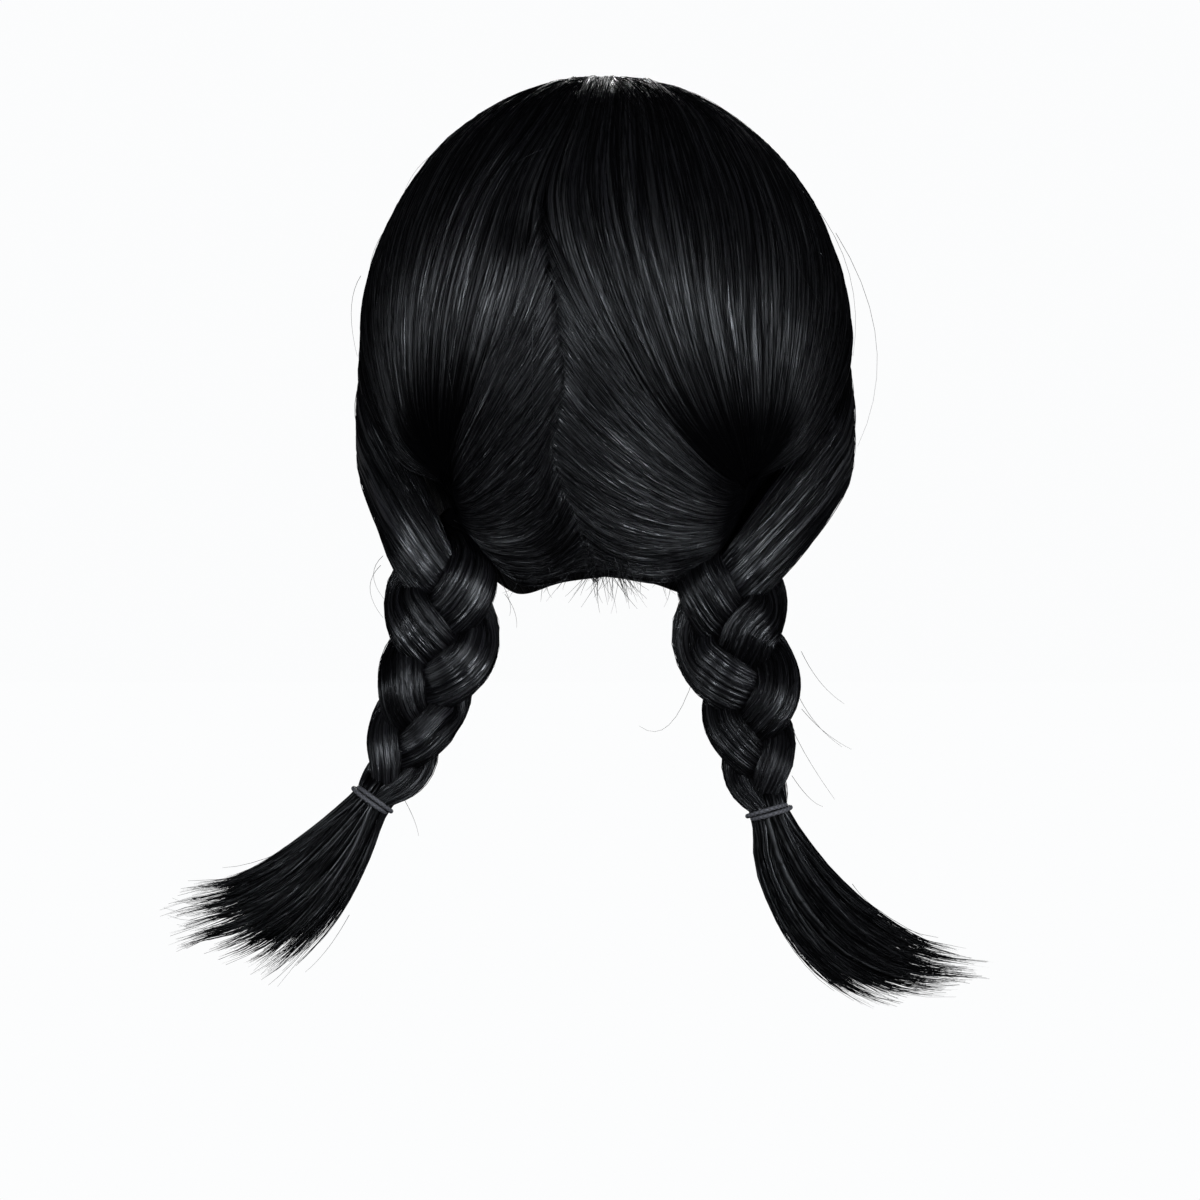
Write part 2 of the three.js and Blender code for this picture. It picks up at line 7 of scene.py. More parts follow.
import bpy
import numpy as np
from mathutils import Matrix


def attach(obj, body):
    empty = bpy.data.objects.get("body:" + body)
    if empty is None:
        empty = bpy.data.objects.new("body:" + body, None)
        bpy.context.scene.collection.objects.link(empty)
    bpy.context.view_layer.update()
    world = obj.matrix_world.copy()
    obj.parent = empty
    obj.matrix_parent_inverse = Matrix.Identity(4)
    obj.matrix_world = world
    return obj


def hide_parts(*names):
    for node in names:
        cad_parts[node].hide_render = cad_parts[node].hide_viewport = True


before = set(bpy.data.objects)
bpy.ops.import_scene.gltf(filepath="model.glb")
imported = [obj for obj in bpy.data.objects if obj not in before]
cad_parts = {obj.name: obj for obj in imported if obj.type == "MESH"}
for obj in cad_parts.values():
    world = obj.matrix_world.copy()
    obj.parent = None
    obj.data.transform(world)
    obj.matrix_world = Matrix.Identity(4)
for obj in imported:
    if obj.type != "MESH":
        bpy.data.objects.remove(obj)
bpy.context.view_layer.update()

# Looks of a wig with a centre part and two short plaits, built round its CAD part.
# Shapes are worked out in millimetres in the part's own frame, and meshes hold metres.
MM = 0.001
UV_PER_MM = 0.01
BACK = np.array([0.0, 1.0, 0.0])
SEED = 20
FIBRE_SEED = SEED + 10
CAP_SEED = SEED + 50
TAIL_SEED = SEED + 60
LOOSE_SEED = SEED + 90
FIBRE_FLAT = 0.8
LOOSE_FLAT = 0.9

logging.basicConfig(level=logging.INFO, format="%(message)s")
log = logging.getLogger("wig")

Pair = tuple[float, float]
Triple = tuple[float, float, float]
Quad = tuple[float, float, float, float]
Guide = tuple[Pair, ...]
Stations = tuple[np.ndarray, np.ndarray, np.ndarray, np.ndarray]


class Side(Enum):
    """The wearer's side that a plait hangs on, with the sign of its X."""

    LEFT = 1
    RIGHT = -1

    @property
    def label(self) -> str:
        """The side's name as the CAD nodes have it."""
        return self.name.lower()


class Strand(Enum):
    """The three strands of a plait, named for where each comes from."""

    FRONT = "front"
    NAPE = "nape"
    SIDE = "side"


class HairlineRow(NamedTuple):
    """How far the hairline lies from straight up at a turn from the back, in degrees."""

    turn: float
    tilt: float


class EdgeRow(NamedTuple):
    """The edge of the side section: its fall below the widest level, as a share of the hollow's."""

    turn: float
    fall: float


class LockRow(NamedTuple):
    """A station of the front lock on the crown, with its size as shares of the lock's own."""

    share: float
    turn: float
    fall: float
    wide: float
    thick: float


class FormRow(NamedTuple):
    """A plait's size at a share of its run, as shares of its width and depth."""

    run: float
    wide: float
    deep: float


class WayRow(NamedTuple):
    """How far out a plait lies at a share of its run, as a share of its drop."""

    run: float
    out: float


class TailRow(NamedTuple):
    """A tail's way out and down as shares of its length, and its fan as a share of its width."""

    run: float
    out: float
    down: float
    fan: float


class TailLock(NamedTuple):
    """A lock of a tail: its place in the fan, and its length and thickness as shares."""

    across: float
    through: float
    reach: float
    thick: float


class StrandRow(NamedTuple):
    """A strand's place in the weave, the run where it starts, and how deep its root is sunk."""

    phase: float
    root: float
    sink: float


class Ridges(NamedTuple):
    """The clumps that hair falls into, in millimetres: their widths and depths, and how long they run."""

    widths: tuple[float, ...]
    depths: tuple[float, ...]
    length: float
    shorter: float = 0.15
    wander: float = 0.35
    wander_width: float = 9.0
    wander_apart: float = 40.0
    sharpness: float = 0.7


class Streaks(NamedTuple):
    """Streaks of shader noise: width and length in millimetres, own number, count of finer layers."""

    width: float
    length: float
    seed: float
    detail: float


class LooseRow(NamedTuple):
    """A kind of loose hair on the crown: where it lies in degrees, and its lift and width in millimetres."""

    count: int
    turn: float
    sway: float
    tilt: Pair
    reach: Pair
    lift: float
    rise: float
    arch: float
    dip: float
    width: Pair
    gloss: float


class Stray(NamedTuple):
    """A stray hair, in millimetres: where it starts, where its middle bows to and where it ends."""

    start: Triple
    middle: Triple
    end: Triple


class SunRow(NamedTuple):
    """A far light: degrees above the horizon and towards the wearer's left, strength, degrees across."""

    name: str
    height: float
    aside: float
    strength: float
    angle: float


HAIRLINE = (
    HairlineRow(0, 138), HairlineRow(18, 139.5), HairlineRow(46, 143), HairlineRow(60, 137),
    HairlineRow(74, 126), HairlineRow(90, 117), HairlineRow(110, 103), HairlineRow(130, 80),
    HairlineRow(155, 62), HairlineRow(180, 58),
)
PLAIT_FORM = (
    FormRow(0, 1, 1), FormRow(0.2, 1.02, 1), FormRow(0.45, 0.97, 0.97), FormRow(0.6, 0.86, 0.88),
    FormRow(0.75, 0.72, 0.76), FormRow(0.87, 0.58, 0.65), FormRow(0.96, 0.38, 0.52), FormRow(1, 0.27, 0.42),
)
FRONT_LOCK = (
    LockRow(0, 128, -0.2, 0.5, 0.35), LockRow(0.25, 112, 0.02, 0.85, 0.6), LockRow(0.5, 96, 0.2, 1, 0.85),
    LockRow(0.75, 80, 0.37, 0.94, 1.08), LockRow(1, 66, 0.53, 0.76, 1.25),
)
TAIL_LOCKS = (
    TailLock(-0.95, 0.1, 0.9, 0.62), TailLock(-0.68, -0.5, 1, 0.8), TailLock(-0.42, 0.5, 0.93, 0.9),
    TailLock(-0.12, -0.3, 1, 1), TailLock(0.16, 0.45, 0.88, 1), TailLock(0.44, -0.45, 0.9, 0.9),
    TailLock(0.7, 0.4, 0.78, 0.8), TailLock(0.97, -0.1, 0.74, 0.62),
)
STRAND_ROWS = {
    Strand.FRONT: StrandRow(0.0, 0.06, 0.0),
    Strand.NAPE: StrandRow(2 / 3, -0.08, 1.0),
    Strand.SIDE: StrandRow(4 / 3, -0.04, 1.5),
}
FLY_AWAYS = LooseRow(110, 120, 7, (8, 88), (9, 30), 0.3, 0.8, 1.2, 0, (0.08, 0.14), 1.0)
TOP_FAN = LooseRow(260, 85, 4, (3, 14), (14, 42), 0.9, 0.25, 0, 1.4, (0.1, 0.26), 0.5)
STRAYS = (
    Stray((-40, 52, -228), (-28, 56, -257), (-14, 58, -259)),
    Stray((-82, 40, -228), (-90, 42, -241), (-100, 42, -250)),
    Stray((-80, 44, -245), (-88, 46, -258), (-99, 44, -268)),
    Stray((-82, 46, -252), (-92, 46, -262), (-103, 44, -269)),
    Stray((-79, 42, -262), (-86, 44, -275), (-96, 42, -290)),
    Stray((-78, 44, -280), (-85, 44, -289), (-91, 42, -293)),
    Stray((93, 48, -188), (97, 46, -197), (91, 46, -208)),
    Stray((94, 48, -192), (98.5, 46, -202), (93, 46, -214)),
    Stray((42, 60, -204), (38, 62, -211), (37, 62, -218)),
    Stray((44, 60, -198), (40, 62, -207), (40, 62, -213)),
    Stray((84, 52, -290), (80, 54, -298), (78, 54, -305)),
    Stray((-97, 20, -52), (-114, 22, -98), (-106, 26, -142)),
    Stray((-80, 52, -33), (-101, 40, -66), (-104, 30, -104)),
    Stray((103, 20, -70), (107, 20, -84), (104.5, 20, -104)),
    Stray((-65.7, 65, -41), (-81, 67, -70), (-102, 27, -98)),
    Stray((66, 87, -107), (63, 85, -136), (69, 67, -161)),
    Stray((59, 92, -107), (57, 92, -125), (73, 63, -161)),
    Stray((56, 87, -148), (49, 91, -152), (37, 100, -143)),
    Stray((12, 97, -166), (2, 89, -184), (7, 82, -193)),
    Stray((37, 75, -25), (30, 76, -21), (22, 76, -18)),
    Stray((48, 84, -130), (58, 82, -145), (66, 68, -160)),
    Stray((148, 54, -331), (167, 54, -337), (184.5, 52, -335)),
    Stray((150, 53, -334), (169, 53, -340), (183, 52, -338)),
    Stray((146, 53, -329), (165, 53, -334), (181, 51, -331)),
    Stray((144, 54, -336), (162, 54, -343), (179, 52, -342)),
    Stray((110, 53, -334), (125, 53, -353), (137, 52, -368)),
    Stray((107, 53, -338), (116, 53, -352), (125.5, 52, -362)),
    Stray((117, 53, -332), (133, 53, -351), (144, 52, -363)),
    Stray((-69, 54, -322), (-72, 54, -342), (-84, 53, -357)),
    Stray((-71, 53, -328), (-75, 53, -346), (-87, 53, -359)),
    Stray((-103, 54, -325), (-109, 54, -332), (-116, 53, -337)),
)
SUNS = (
    SunRow("key_light", 12, 10, 2.2, 12), SunRow("left_light", 8, 68, 1.4, 18),
    SunRow("right_light", 0, -45, 3.9, 14), SunRow("far_right_light", 0, -72, 2.2, 20),
    SunRow("bounce_light", -36, 0, 2.2, 34), SunRow("rim_light", 24, 180, 1.1, 14),
)


@dataclass(frozen=True)
class HeadSizes:
    """Sizes of the hollow and of the hair over it, in millimetres, as the part has them."""

    half_width: float = 80.0
    half_depth: float = 97.0
    rise: float = 101.5
    fall: float = 123.0
    hair_on_top: float = 14.0
    hair_at_side: float = 23.5
    hair_at_back: float = 14.0
    hair_at_face: float = 9.0
    hair_below: float = 7.0
    rim_wall: float = 5.0
    pocket_depth: float = 6.0
    pocket_width: float = 13.0
    pocket_height: float = 22.0
    tuck_depth: float = 11.0
    tuck_blend: float = 9.0
    thinning: float = 0.84
    # A painted shadow in the hollow at the head of the part: its place, its size and its depth.
    shade_out: float = 35.5
    shade_fall: float = 57.0
    shade_width: float = 9.0
    shade_height: float = 9.0
    shade_depth: float = 0.8

    @property
    def outer_half_width(self) -> float:
        """Half the width of the hair at its widest."""
        return self.half_width + self.hair_at_side

    @property
    def outer_rise(self) -> float:
        """How far the hair rises above the widest level."""
        return self.rise + self.hair_on_top

    @property
    def outer_fall(self) -> float:
        """How far the egg of hair falls below the widest level."""
        return self.fall + self.hair_below


@dataclass(frozen=True)
class PlaitSizes:
    """Sizes of the plaits, elastics and tails that both sides share, in millimetres and shares."""

    width: float = 50.0
    depth: float = 32.0
    top: float = 181.0
    back: float = 50.0
    lock_width: float = 44.0
    lock_thickness: float = 17.0
    root_sink: float = 13.0
    root_run: float = 0.16
    step: float = 0.02
    strand_end: float = 1.03
    weave_start: float = 0.6
    weave_even: float = 2.14
    weave_late: float = 0.42
    face_lean: float = 0.7
    swing: float = 0.27
    half_share: float = 0.235
    bundle: float = 7.0
    elastic: float = 2.0
    clearance: float = 0.3
    squeeze: float = 0.9
    tail_depth: float = 18.0


@dataclass(frozen=True)
class SideSizes:
    """What differs from side to side, in millimetres and shares."""

    side: Side
    plait_out: float
    plait_drop: float
    tail_length: float
    tail_width: float
    pocket_out: float
    pocket_fall: float
    edge: tuple[EdgeRow, ...]
    plait: tuple[WayRow, ...]
    tail: tuple[TailRow, ...]
    nape_guides: tuple[Guide, ...]
    top_guides: tuple[Guide, ...]


SIDES = {
    Side.LEFT: SideSizes(
        side=Side.LEFT, plait_out=71, plait_drop=109, tail_length=95, tail_width=44,
        pocket_out=0.69, pocket_fall=0.56,
        edge=(EdgeRow(40, 0.62), EdgeRow(54, 0.48), EdgeRow(72, 0.26), EdgeRow(90, 0.08),
              EdgeRow(110, -0.08), EdgeRow(128, -0.3)),
        plait=(WayRow(-0.15, 0.02), WayRow(0, 0), WayRow(0.2, -0.023), WayRow(0.4, -0.023),
               WayRow(0.52, 0.012), WayRow(0.64, 0.07), WayRow(0.75, 0.1), WayRow(0.87, 0.15),
               WayRow(1, 0.243)),
        tail=(TailRow(0, 0, 0, 0.31), TailRow(0.045, 0.027, 0.036, 0.31), TailRow(0.27, 0.16, 0.22, 0.66),
              TailRow(0.53, 0.34, 0.41, 0.9), TailRow(0.78, 0.55, 0.55, 1.02), TailRow(1, 0.76, 0.63, 1.12)),
        nape_guides=(
            ((4.5, 137.8), (15.6, 138.7), (27.7, 140.6), (40.3, 140.6), (47.7, 136.5), (52.6, 130.6)),
            ((7.9, 124), (13.8, 129.1), (23.6, 132.7), (35.6, 132.7), (44.8, 129.8), (52.2, 126)),
            ((13.1, 109.6), (17.7, 115.9), (26.2, 120.7), (35.5, 123.3), (44, 124.2), (52.1, 123.3)),
            ((9.9, 91.7), (16.8, 98.9), (24.2, 105.6), (32.4, 112), (41.5, 116.9), (50.6, 119.6)),
            ((17.1, 60), (21.3, 77.4), (26.4, 89), (33, 99.3), (40.7, 108.5), (50, 117.5)),
        ),
        top_guides=(
            ((178, 55), (176, 27), (80, 3), (13, 30), (17, 57), (19.3, 79), (29.5, 99), (49.5, 118.5)),
            ((170, 56), (160, 30), (86, 7), (29, 32), (35, 57), (38, 79), (42, 99), (49.5, 116.5)),
            ((160, 58.5), (147, 36), (91, 13), (52, 42), (50, 64), (50, 83), (50.5, 101), (51, 115.5)),
            ((147, 63), (132, 46), (100, 28), (75, 53), (68, 72), (63, 89), (58, 104), (52, 116)),
            ((130, 71.4), (120, 78.5), (108, 85.7), (94, 92.4), (81, 99.5), (70, 106.5), (61, 112.5),
             (54, 118)),
        ),
    ),
    Side.RIGHT: SideSizes(
        side=Side.RIGHT, plait_out=55, plait_drop=114, tail_length=115, tail_width=38,
        pocket_out=0.62, pocket_fall=0.52,
        edge=(EdgeRow(40, 0.58), EdgeRow(54, 0.4), EdgeRow(72, 0.16), EdgeRow(90, -0.02),
              EdgeRow(110, -0.14), EdgeRow(128, -0.32)),
        plait=(WayRow(-0.15, 0.03), WayRow(0, 0), WayRow(0.185, -0.02), WayRow(0.33, -0.035),
               WayRow(0.45, 0.006), WayRow(0.56, 0.046), WayRow(0.67, 0.05), WayRow(0.88, 0.083),
               WayRow(1, 0.117)),
        tail=(TailRow(0, 0, 0, 0.36), TailRow(0.04, 0.013, 0.038, 0.36), TailRow(0.19, 0.062, 0.18, 0.68),
              TailRow(0.38, 0.161, 0.34, 0.88), TailRow(0.58, 0.3, 0.48, 0.95), TailRow(0.8, 0.5, 0.58, 0.8),
              TailRow(1, 0.7, 0.6, 0.5)),
        nape_guides=(
            ((-4.5, 137.8), (3.2, 138), (14.1, 139.4), (26.6, 140), (36.3, 137.2), (43.1, 131.8)),
            ((-7.9, 124), (-0.7, 128.6), (10.1, 131.8), (23.9, 131.9), (34.3, 130), (44.2, 127.4)),
            ((-13.1, 109.6), (-4, 115.7), (6.6, 120.5), (18.9, 123.8), (32.8, 124.9), (44.9, 123.8)),
            ((-9.9, 91.7), (-2.2, 99.7), (7.2, 107.3), (18.8, 114), (32.7, 119), (44.9, 120.7)),
            ((-17.1, 60), (-6, 79.1), (3.8, 93), (15.2, 104.4), (29.1, 113.8), (44.7, 119)),
        ),
        top_guides=(
            ((-178, 54), (-174, 25), (-60, 4), (-14, 34), (-16, 59), (-5, 84), (12.5, 105), (44.5, 120)),
            ((172, 56), (160, 29), (70, 6), (10, 32), (8, 58), (12, 81), (23, 102), (44.5, 118.5)),
            ((162, 58.5), (148, 35), (88, 12), (38, 38), (34, 61), (32, 83), (36, 102), (45, 117.5)),
            ((147, 63), (131, 45), (99, 27), (73, 53), (66, 71), (59, 87), (52, 102), (46.5, 115.5)),
            ((130, 70), (120, 77), (108, 82.5), (94, 87.5), (80, 94.3), (68, 102), (57, 109.8), (47.5, 117)),
        ),
    ),
}


def smoothstep(value: Any, low: float, high: float) -> Any:
    """A smooth step from 0 at low to 1 at high."""
    t = np.clip((np.asarray(value, float) - low) / (high - low), 0, 1)
    return t * t * (3 - 2 * t)


def unit(vectors: np.ndarray) -> np.ndarray:
    """Vectors at length one, along the last axis."""
    return vectors / np.maximum(np.linalg.norm(vectors, axis=-1, keepdims=True), 1e-12)


def along(rows: Sequence[Any], column: str, at: Any) -> np.ndarray:
    """Reads a column part way down a table, on a smooth curve through its rows.

    Args:
        rows: Rows with named columns, of which the first is the key.
        column: The column to read.
        at: Places along the key.

    Returns:
        The column's value at each place.
    """
    keys = np.array([row[0] for row in rows], float)
    values = np.array([getattr(row, column) for row in rows], float)
    before = np.maximum(np.arange(len(rows)) - 1, 0)
    after = np.minimum(np.arange(len(rows)) + 1, len(rows) - 1)
    slopes = (values[after] - values[before]) / (keys[after] - keys[before])
    at = np.asarray(at, float)
    i = np.clip(np.searchsorted(keys, at, side="left") - 1, 0, len(rows) - 2)
    span = keys[i + 1] - keys[i]
    t = np.clip((at - keys[i]) / span, 0, 1)
    ease = t * t * (3 - 2 * t)
    leave = t * (1 - t) ** 2 * slopes[i] * span
    arrive = t * t * (1 - t) * slopes[i + 1] * span
    return values[i] + ease * (values[i + 1] - values[i]) + leave - arrive


def through(points: np.ndarray, at: np.ndarray) -> np.ndarray:
    """A smooth curve through points that are evenly spaced in its parameter.

    Args:
        points: Points along the first axis, in any number of dimensions.
        at: Places from 0 to 1.

    Returns:
        The point at each place.
    """
    last = len(points) - 1
    place = np.clip(np.asarray(at, float), 0, 1) * last
    i = np.clip(np.floor(place).astype(int), 0, last - 1)
    t = (place - i).reshape((-1,) + (1,) * (points.ndim - 1))
    ends = np.concatenate([2 * points[:1] - points[1:2], points, 2 * points[-1:] - points[-2:-1]])
    a, b, c, d = ends[i], ends[i + 1], ends[i + 2], ends[i + 3]
    return b + 0.5 * t * (c - a + t * (2 * a - 5 * b + 4 * c - d + t * (3 * (b - c) + d - a)))


class Noise:
    """Smooth seeded noise on a plane, from -1 to 1."""

    def __init__(self, seed: int, size: int = 256) -> None:
        """Draws the lattice of values."""
        self.size = size
        self.values = np.random.default_rng(seed).uniform(-1, 1, (size, size))

    def _cell(self, i: np.ndarray, j: np.ndarray) -> np.ndarray:
        """The lattice's values, which repeat."""
        return self.values[i % self.size, j % self.size]

    def at(self, across: Any, down: Any) -> np.ndarray:
        """The noise at places measured in lattice cells."""
        x, y = np.broadcast_arrays(np.asarray(across, float), np.asarray(down, float))
        i, j = np.floor(x).astype(int), np.floor(y).astype(int)
        u, v = smoothstep(x - i, 0, 1), smoothstep(y - j, 0, 1)
        low = self._cell(i, j) * (1 - u) + self._cell(i + 1, j) * u
        high = self._cell(i, j + 1) * (1 - u) + self._cell(i + 1, j + 1) * u
        return low * (1 - v) + high * v


class Relief:
    """The ridges that hair clumps into: long along the hair and narrow across it."""

    def __init__(self, seed: int, ridges: Ridges) -> None:
        """Draws the noise of each kind of ridge."""
        self.ridges = ridges
        self.noises = [Noise(seed + i) for i in range(len(ridges.widths))]

    def at(self, across: Any, down: Any) -> np.ndarray:
        """The height of the ridges at places in millimetres across and down the hair."""
        r = self.ridges
        across, down = np.broadcast_arrays(np.asarray(across, float), np.asarray(down, float))
        height = np.zeros(across.shape)
        for i, (noise, width, depth) in enumerate(zip(self.noises, r.widths, r.depths)):
            run = down / (r.length * (1 - r.shorter * i))
            wander = r.wander * noise.at(across / (r.wander_width * width), run + r.wander_apart)
            height += depth * (2 * np.abs(noise.at(across / width + wander, run)) ** r.sharpness - 1)
        return height


class MeshData:
    """Gathers closed bodies and turns them into one mesh object."""

    def __init__(self) -> None:
        """Starts with nothing."""
        self.points: list[np.ndarray] = []
        self.faces: list[np.ndarray] = []
        self.coords: list[np.ndarray] = []
        self.count = 0

    def add(self, points: np.ndarray, faces: np.ndarray, coords: np.ndarray) -> None:
        """Adds a body.

        Args:
            points: Its points in millimetres.
            faces: Faces of three or four corners each, as rows of point numbers.
            coords: For each face's corners, millimetres across and down the hair, then its gloss, which also
                carries painted shade.
        """
        self.points.append(points.reshape(-1, 3))
        self.faces.append(faces + self.count)
        self.coords.append(coords)
        self.count += len(self.points[-1])

    def triangles(self) -> int:
        """How many triangles the mesh has."""
        return sum(len(f) * (f.shape[1] - 2) for f in self.faces)

    def build(self, name: str, material: bpy.types.Material) -> bpy.types.Object:
        """Makes the mesh object.

        Args:
            name: The object's name.
            material: Its finish.

        Returns:
            The object, at the origin, with its place in its mesh and a UV map that follows the hair.
        """
        mesh = bpy.data.meshes.new(name)
        points = np.concatenate(self.points) * MM
        corners = np.concatenate([f.ravel() for f in self.faces])
        sizes = np.concatenate([np.full(len(f), f.shape[1]) for f in self.faces])
        starts = np.concatenate([[0], np.cumsum(sizes)[:-1]])
        mesh.vertices.add(len(points))
        mesh.vertices.foreach_set("co", points.astype(np.float32).ravel())
        mesh.loops.add(len(corners))
        mesh.loops.foreach_set("vertex_index", corners.astype(np.int32))
        mesh.polygons.add(len(sizes))
        mesh.polygons.foreach_set("loop_start", starts.astype(np.int32))
        mesh.update(calc_edges=True)
        mesh.polygons.foreach_set("use_smooth", np.ones(len(sizes), bool))
        coords = np.concatenate([c.reshape(-1, 3) for c in self.coords])
        # The gloss map also carries painted shade.
        for layer, columns in (("flow", coords[:, :2] * UV_PER_MM), ("gloss", coords[:, [2, 2]])):
            mesh.uv_layers.new(name=layer)
            mesh.uv_layers[layer].data.foreach_set("uv", columns.astype(np.float32).ravel())
        mesh.materials.append(material)
        mesh.validate()
        piece = bpy.data.objects.new(name, mesh)
        bpy.context.scene.collection.objects.link(piece)
        return piece


def grid_faces(rows: int, columns: int, closed: bool) -> tuple[np.ndarray, np.ndarray]:
    """Quads over a grid of points.

    Args:
        rows: Rows of points.
        columns: Points in a row.
        closed: Whether a row joins up with its own start.

    Returns:
        The quads' corners as point numbers, and as (row, column) with the column not wrapped.
    """
    across = columns if closed else columns - 1
    i, k = np.meshgrid(np.arange(rows - 1), np.arange(across), indexing="ij")
    places = np.stack([
        np.stack([i, k], -1), np.stack([i, k + 1], -1),
        np.stack([i + 1, k + 1], -1), np.stack([i + 1, k], -1),
    ], axis=2).reshape(-1, 4, 2)
    return places[..., 0] * columns + places[..., 1] % columns, places


def run_of(gaps: np.ndarray) -> np.ndarray:
    """How far each point lies along a line, from the gaps between its points."""
    return np.concatenate([[0], np.cumsum(gaps)])


def arched(tau: np.ndarray, dip: float, rise: np.ndarray) -> np.ndarray:
    """The lift of hairs that dip in at both ends and rise between them, at shares of their length."""
    return -dip + (dip + rise) * np.sin(math.pi * tau) ** 0.35


def swollen(tau: np.ndarray, thin: float) -> np.ndarray:
    """The width of hairs that are thin at both ends, at shares of their length."""
    return thin + (1 - thin) * np.sin(math.pi * tau) ** 0.5


def shades(rng: np.random.Generator, count: int) -> np.ndarray:
    """A number for each hair that tells its shade apart."""
    return rng.uniform(0, 4000, count)


def add_tube(
    data: MeshData, rings: np.ndarray, across: np.ndarray, down: np.ndarray, gloss: np.ndarray,
) -> None:
    """Adds a closed tube of rings with its ends fanned shut.

    Args:
        data: The mesh to add to.
        rings: Points by ring and by place round it, turning left about the way the tube runs.
        across: Millimetres round the tube, one more than a ring has points.
        down: Millimetres along the tube for each ring.
        gloss: The gloss of each ring, which also carries painted shade.
    """
    rows, columns = rings.shape[:2]
    faces, places = grid_faces(rows, columns, True)
    coords = np.stack([across[places[..., 1]], down[places[..., 0]], gloss[places[..., 0]]], -1)
    ends = np.stack([rings[0].mean(0), rings[-1].mean(0)])
    base = rows * columns
    k = np.arange(columns)
    near = np.stack([np.full(columns, base), (k + 1) % columns, k], 1)
    far = np.stack([np.full(columns, base + 1), base - columns + k, base - columns + (k + 1) % columns], 1)
    points = np.concatenate([rings.reshape(-1, 3), ends])
    data.add(points, faces, coords)
    data.count -= len(points)
    caps = np.concatenate([near, far])
    cap_across = np.concatenate([np.stack([across[k], across[k + 1], across[k]], 1),
                                 np.stack([across[k], across[k], across[k + 1]], 1)])
    cap_down = np.repeat([down[0], down[-1]], columns)[:, None] * np.ones(3)
    cap_gloss = np.repeat([gloss[0], gloss[-1]], columns)[:, None] * np.ones(3)
    data.add(np.zeros((0, 3)), caps, np.stack([cap_across, cap_down, cap_gloss], -1))
    data.count += len(points)


def add_sheet(data: MeshData, outer: np.ndarray, inner: np.ndarray, coords: np.ndarray) -> None:
    """Adds a closed sheet between an outer and an inner grid of points.

    Args:
        data: The mesh to add to.
        outer: The outer grid, whose rows crossed with its columns point outwards.
        inner: The inner grid.
        coords: Millimetres across and down the hair, then its gloss with its painted shade, at each point of
            the grid.
    """
    rows, columns = outer.shape[:2]
    faces, _ = grid_faces(rows, columns, False)
    inside = faces[:, ::-1] + rows * columns
    rim = np.concatenate([
        np.arange(columns), np.arange(1, rows) * columns + columns - 1,
        (rows - 1) * columns + np.arange(columns - 2, -1, -1), np.arange(rows - 2, 0, -1) * columns,
    ])
    beside = np.roll(rim, -1)
    walls = np.stack([rim, rim + rows * columns, beside + rows * columns, beside], 1)
    flat = np.concatenate([coords.reshape(-1, 3)] * 2)
    quads = np.concatenate([faces, inside, walls])
    data.add(np.concatenate([outer.reshape(-1, 3), inner.reshape(-1, 3)]), quads, flat[quads])


def add_fibres(
    data: MeshData, paths: np.ndarray, outward: np.ndarray, wide: np.ndarray, thick: np.ndarray,
    across: np.ndarray, gloss: Any = 1.0, sides: int = 3,
) -> None:
    """Adds many closed hairs, each a slim tube that is wider than it is thick.

    Args:
        data: The mesh to add to.
        paths: Points by hair and station.
        outward: The way that each station's flat side looks.
        wide: Half widths by hair and station.
        thick: Half thicknesses by hair and station.
        across: A number for each hair that tells its shade apart.
        gloss: Its gloss, by hair and station, which also carries painted shade.
        sides: Sides of a hair.
    """
    count, steps = paths.shape[:2]
    gloss = np.broadcast_to(gloss, (count, steps))
    tangent = unit(np.gradient(paths, axis=1))
    up = unit(outward - (outward * tangent).sum(-1, keepdims=True) * tangent)
    aside = np.cross(up, tangent)
    angles = math.pi / 2 + 2 * math.pi * np.arange(sides) / sides
    rings = (
        paths[:, :, None]
        + aside[:, :, None] * (wide[..., None] * np.cos(angles))[..., None]
        + up[:, :, None] * (thick[..., None] * np.sin(angles))[..., None]
    )
    faces, places = grid_faces(steps, sides, True)
    first = (np.arange(count) * steps * sides)[:, None, None]
    run = np.concatenate([np.zeros((count, 1)), np.cumsum(
        np.linalg.norm(np.diff(paths, axis=1), axis=-1), axis=1)], axis=1)
    coords = np.stack([
        np.broadcast_to(across[:, None, None], (count,) + faces.shape), run[:, places[..., 0]],
        gloss[:, places[..., 0]],
    ], -1)
    data.add(rings, (faces + first).reshape(-1, 4), coords.reshape(-1, 4, 3))
    data.count -= count * steps * sides
    ring = np.arange(sides)
    caps = np.stack([ring[::-1], (steps - 1) * sides + ring]) + first
    cap_coords = np.zeros(caps.shape + (3,))
    cap_coords[..., 0] = across[:, None, None]
    cap_coords[:, 1, :, 1] = run[:, -1:]
    cap_coords[..., 2] = gloss[:, [0, -1], None]
    data.add(np.zeros((0, 3)), caps.reshape(-1, sides), cap_coords.reshape(-1, sides, 3))
    data.count += count * steps * sides


class Value:
    """A shader value that takes part in sums."""

    def __init__(self, graph: "Graph", socket: bpy.types.NodeSocket) -> None:
        """Wraps a socket of a graph."""
        self.graph = graph
        self.socket = socket

    def __add__(self, other: Any) -> "Value":
        """This plus another."""
        return self.graph.math("ADD", self, other)

    def __sub__(self, other: Any) -> "Value":
        """This less another."""
        return self.graph.math("SUBTRACT", self, other)

    def __rsub__(self, other: Any) -> "Value":
        """Another less this."""
        return self.graph.math("SUBTRACT", other, self)

    def __mul__(self, other: Any) -> "Value":
        """This times another."""
        return self.graph.math("MULTIPLY", self, other)


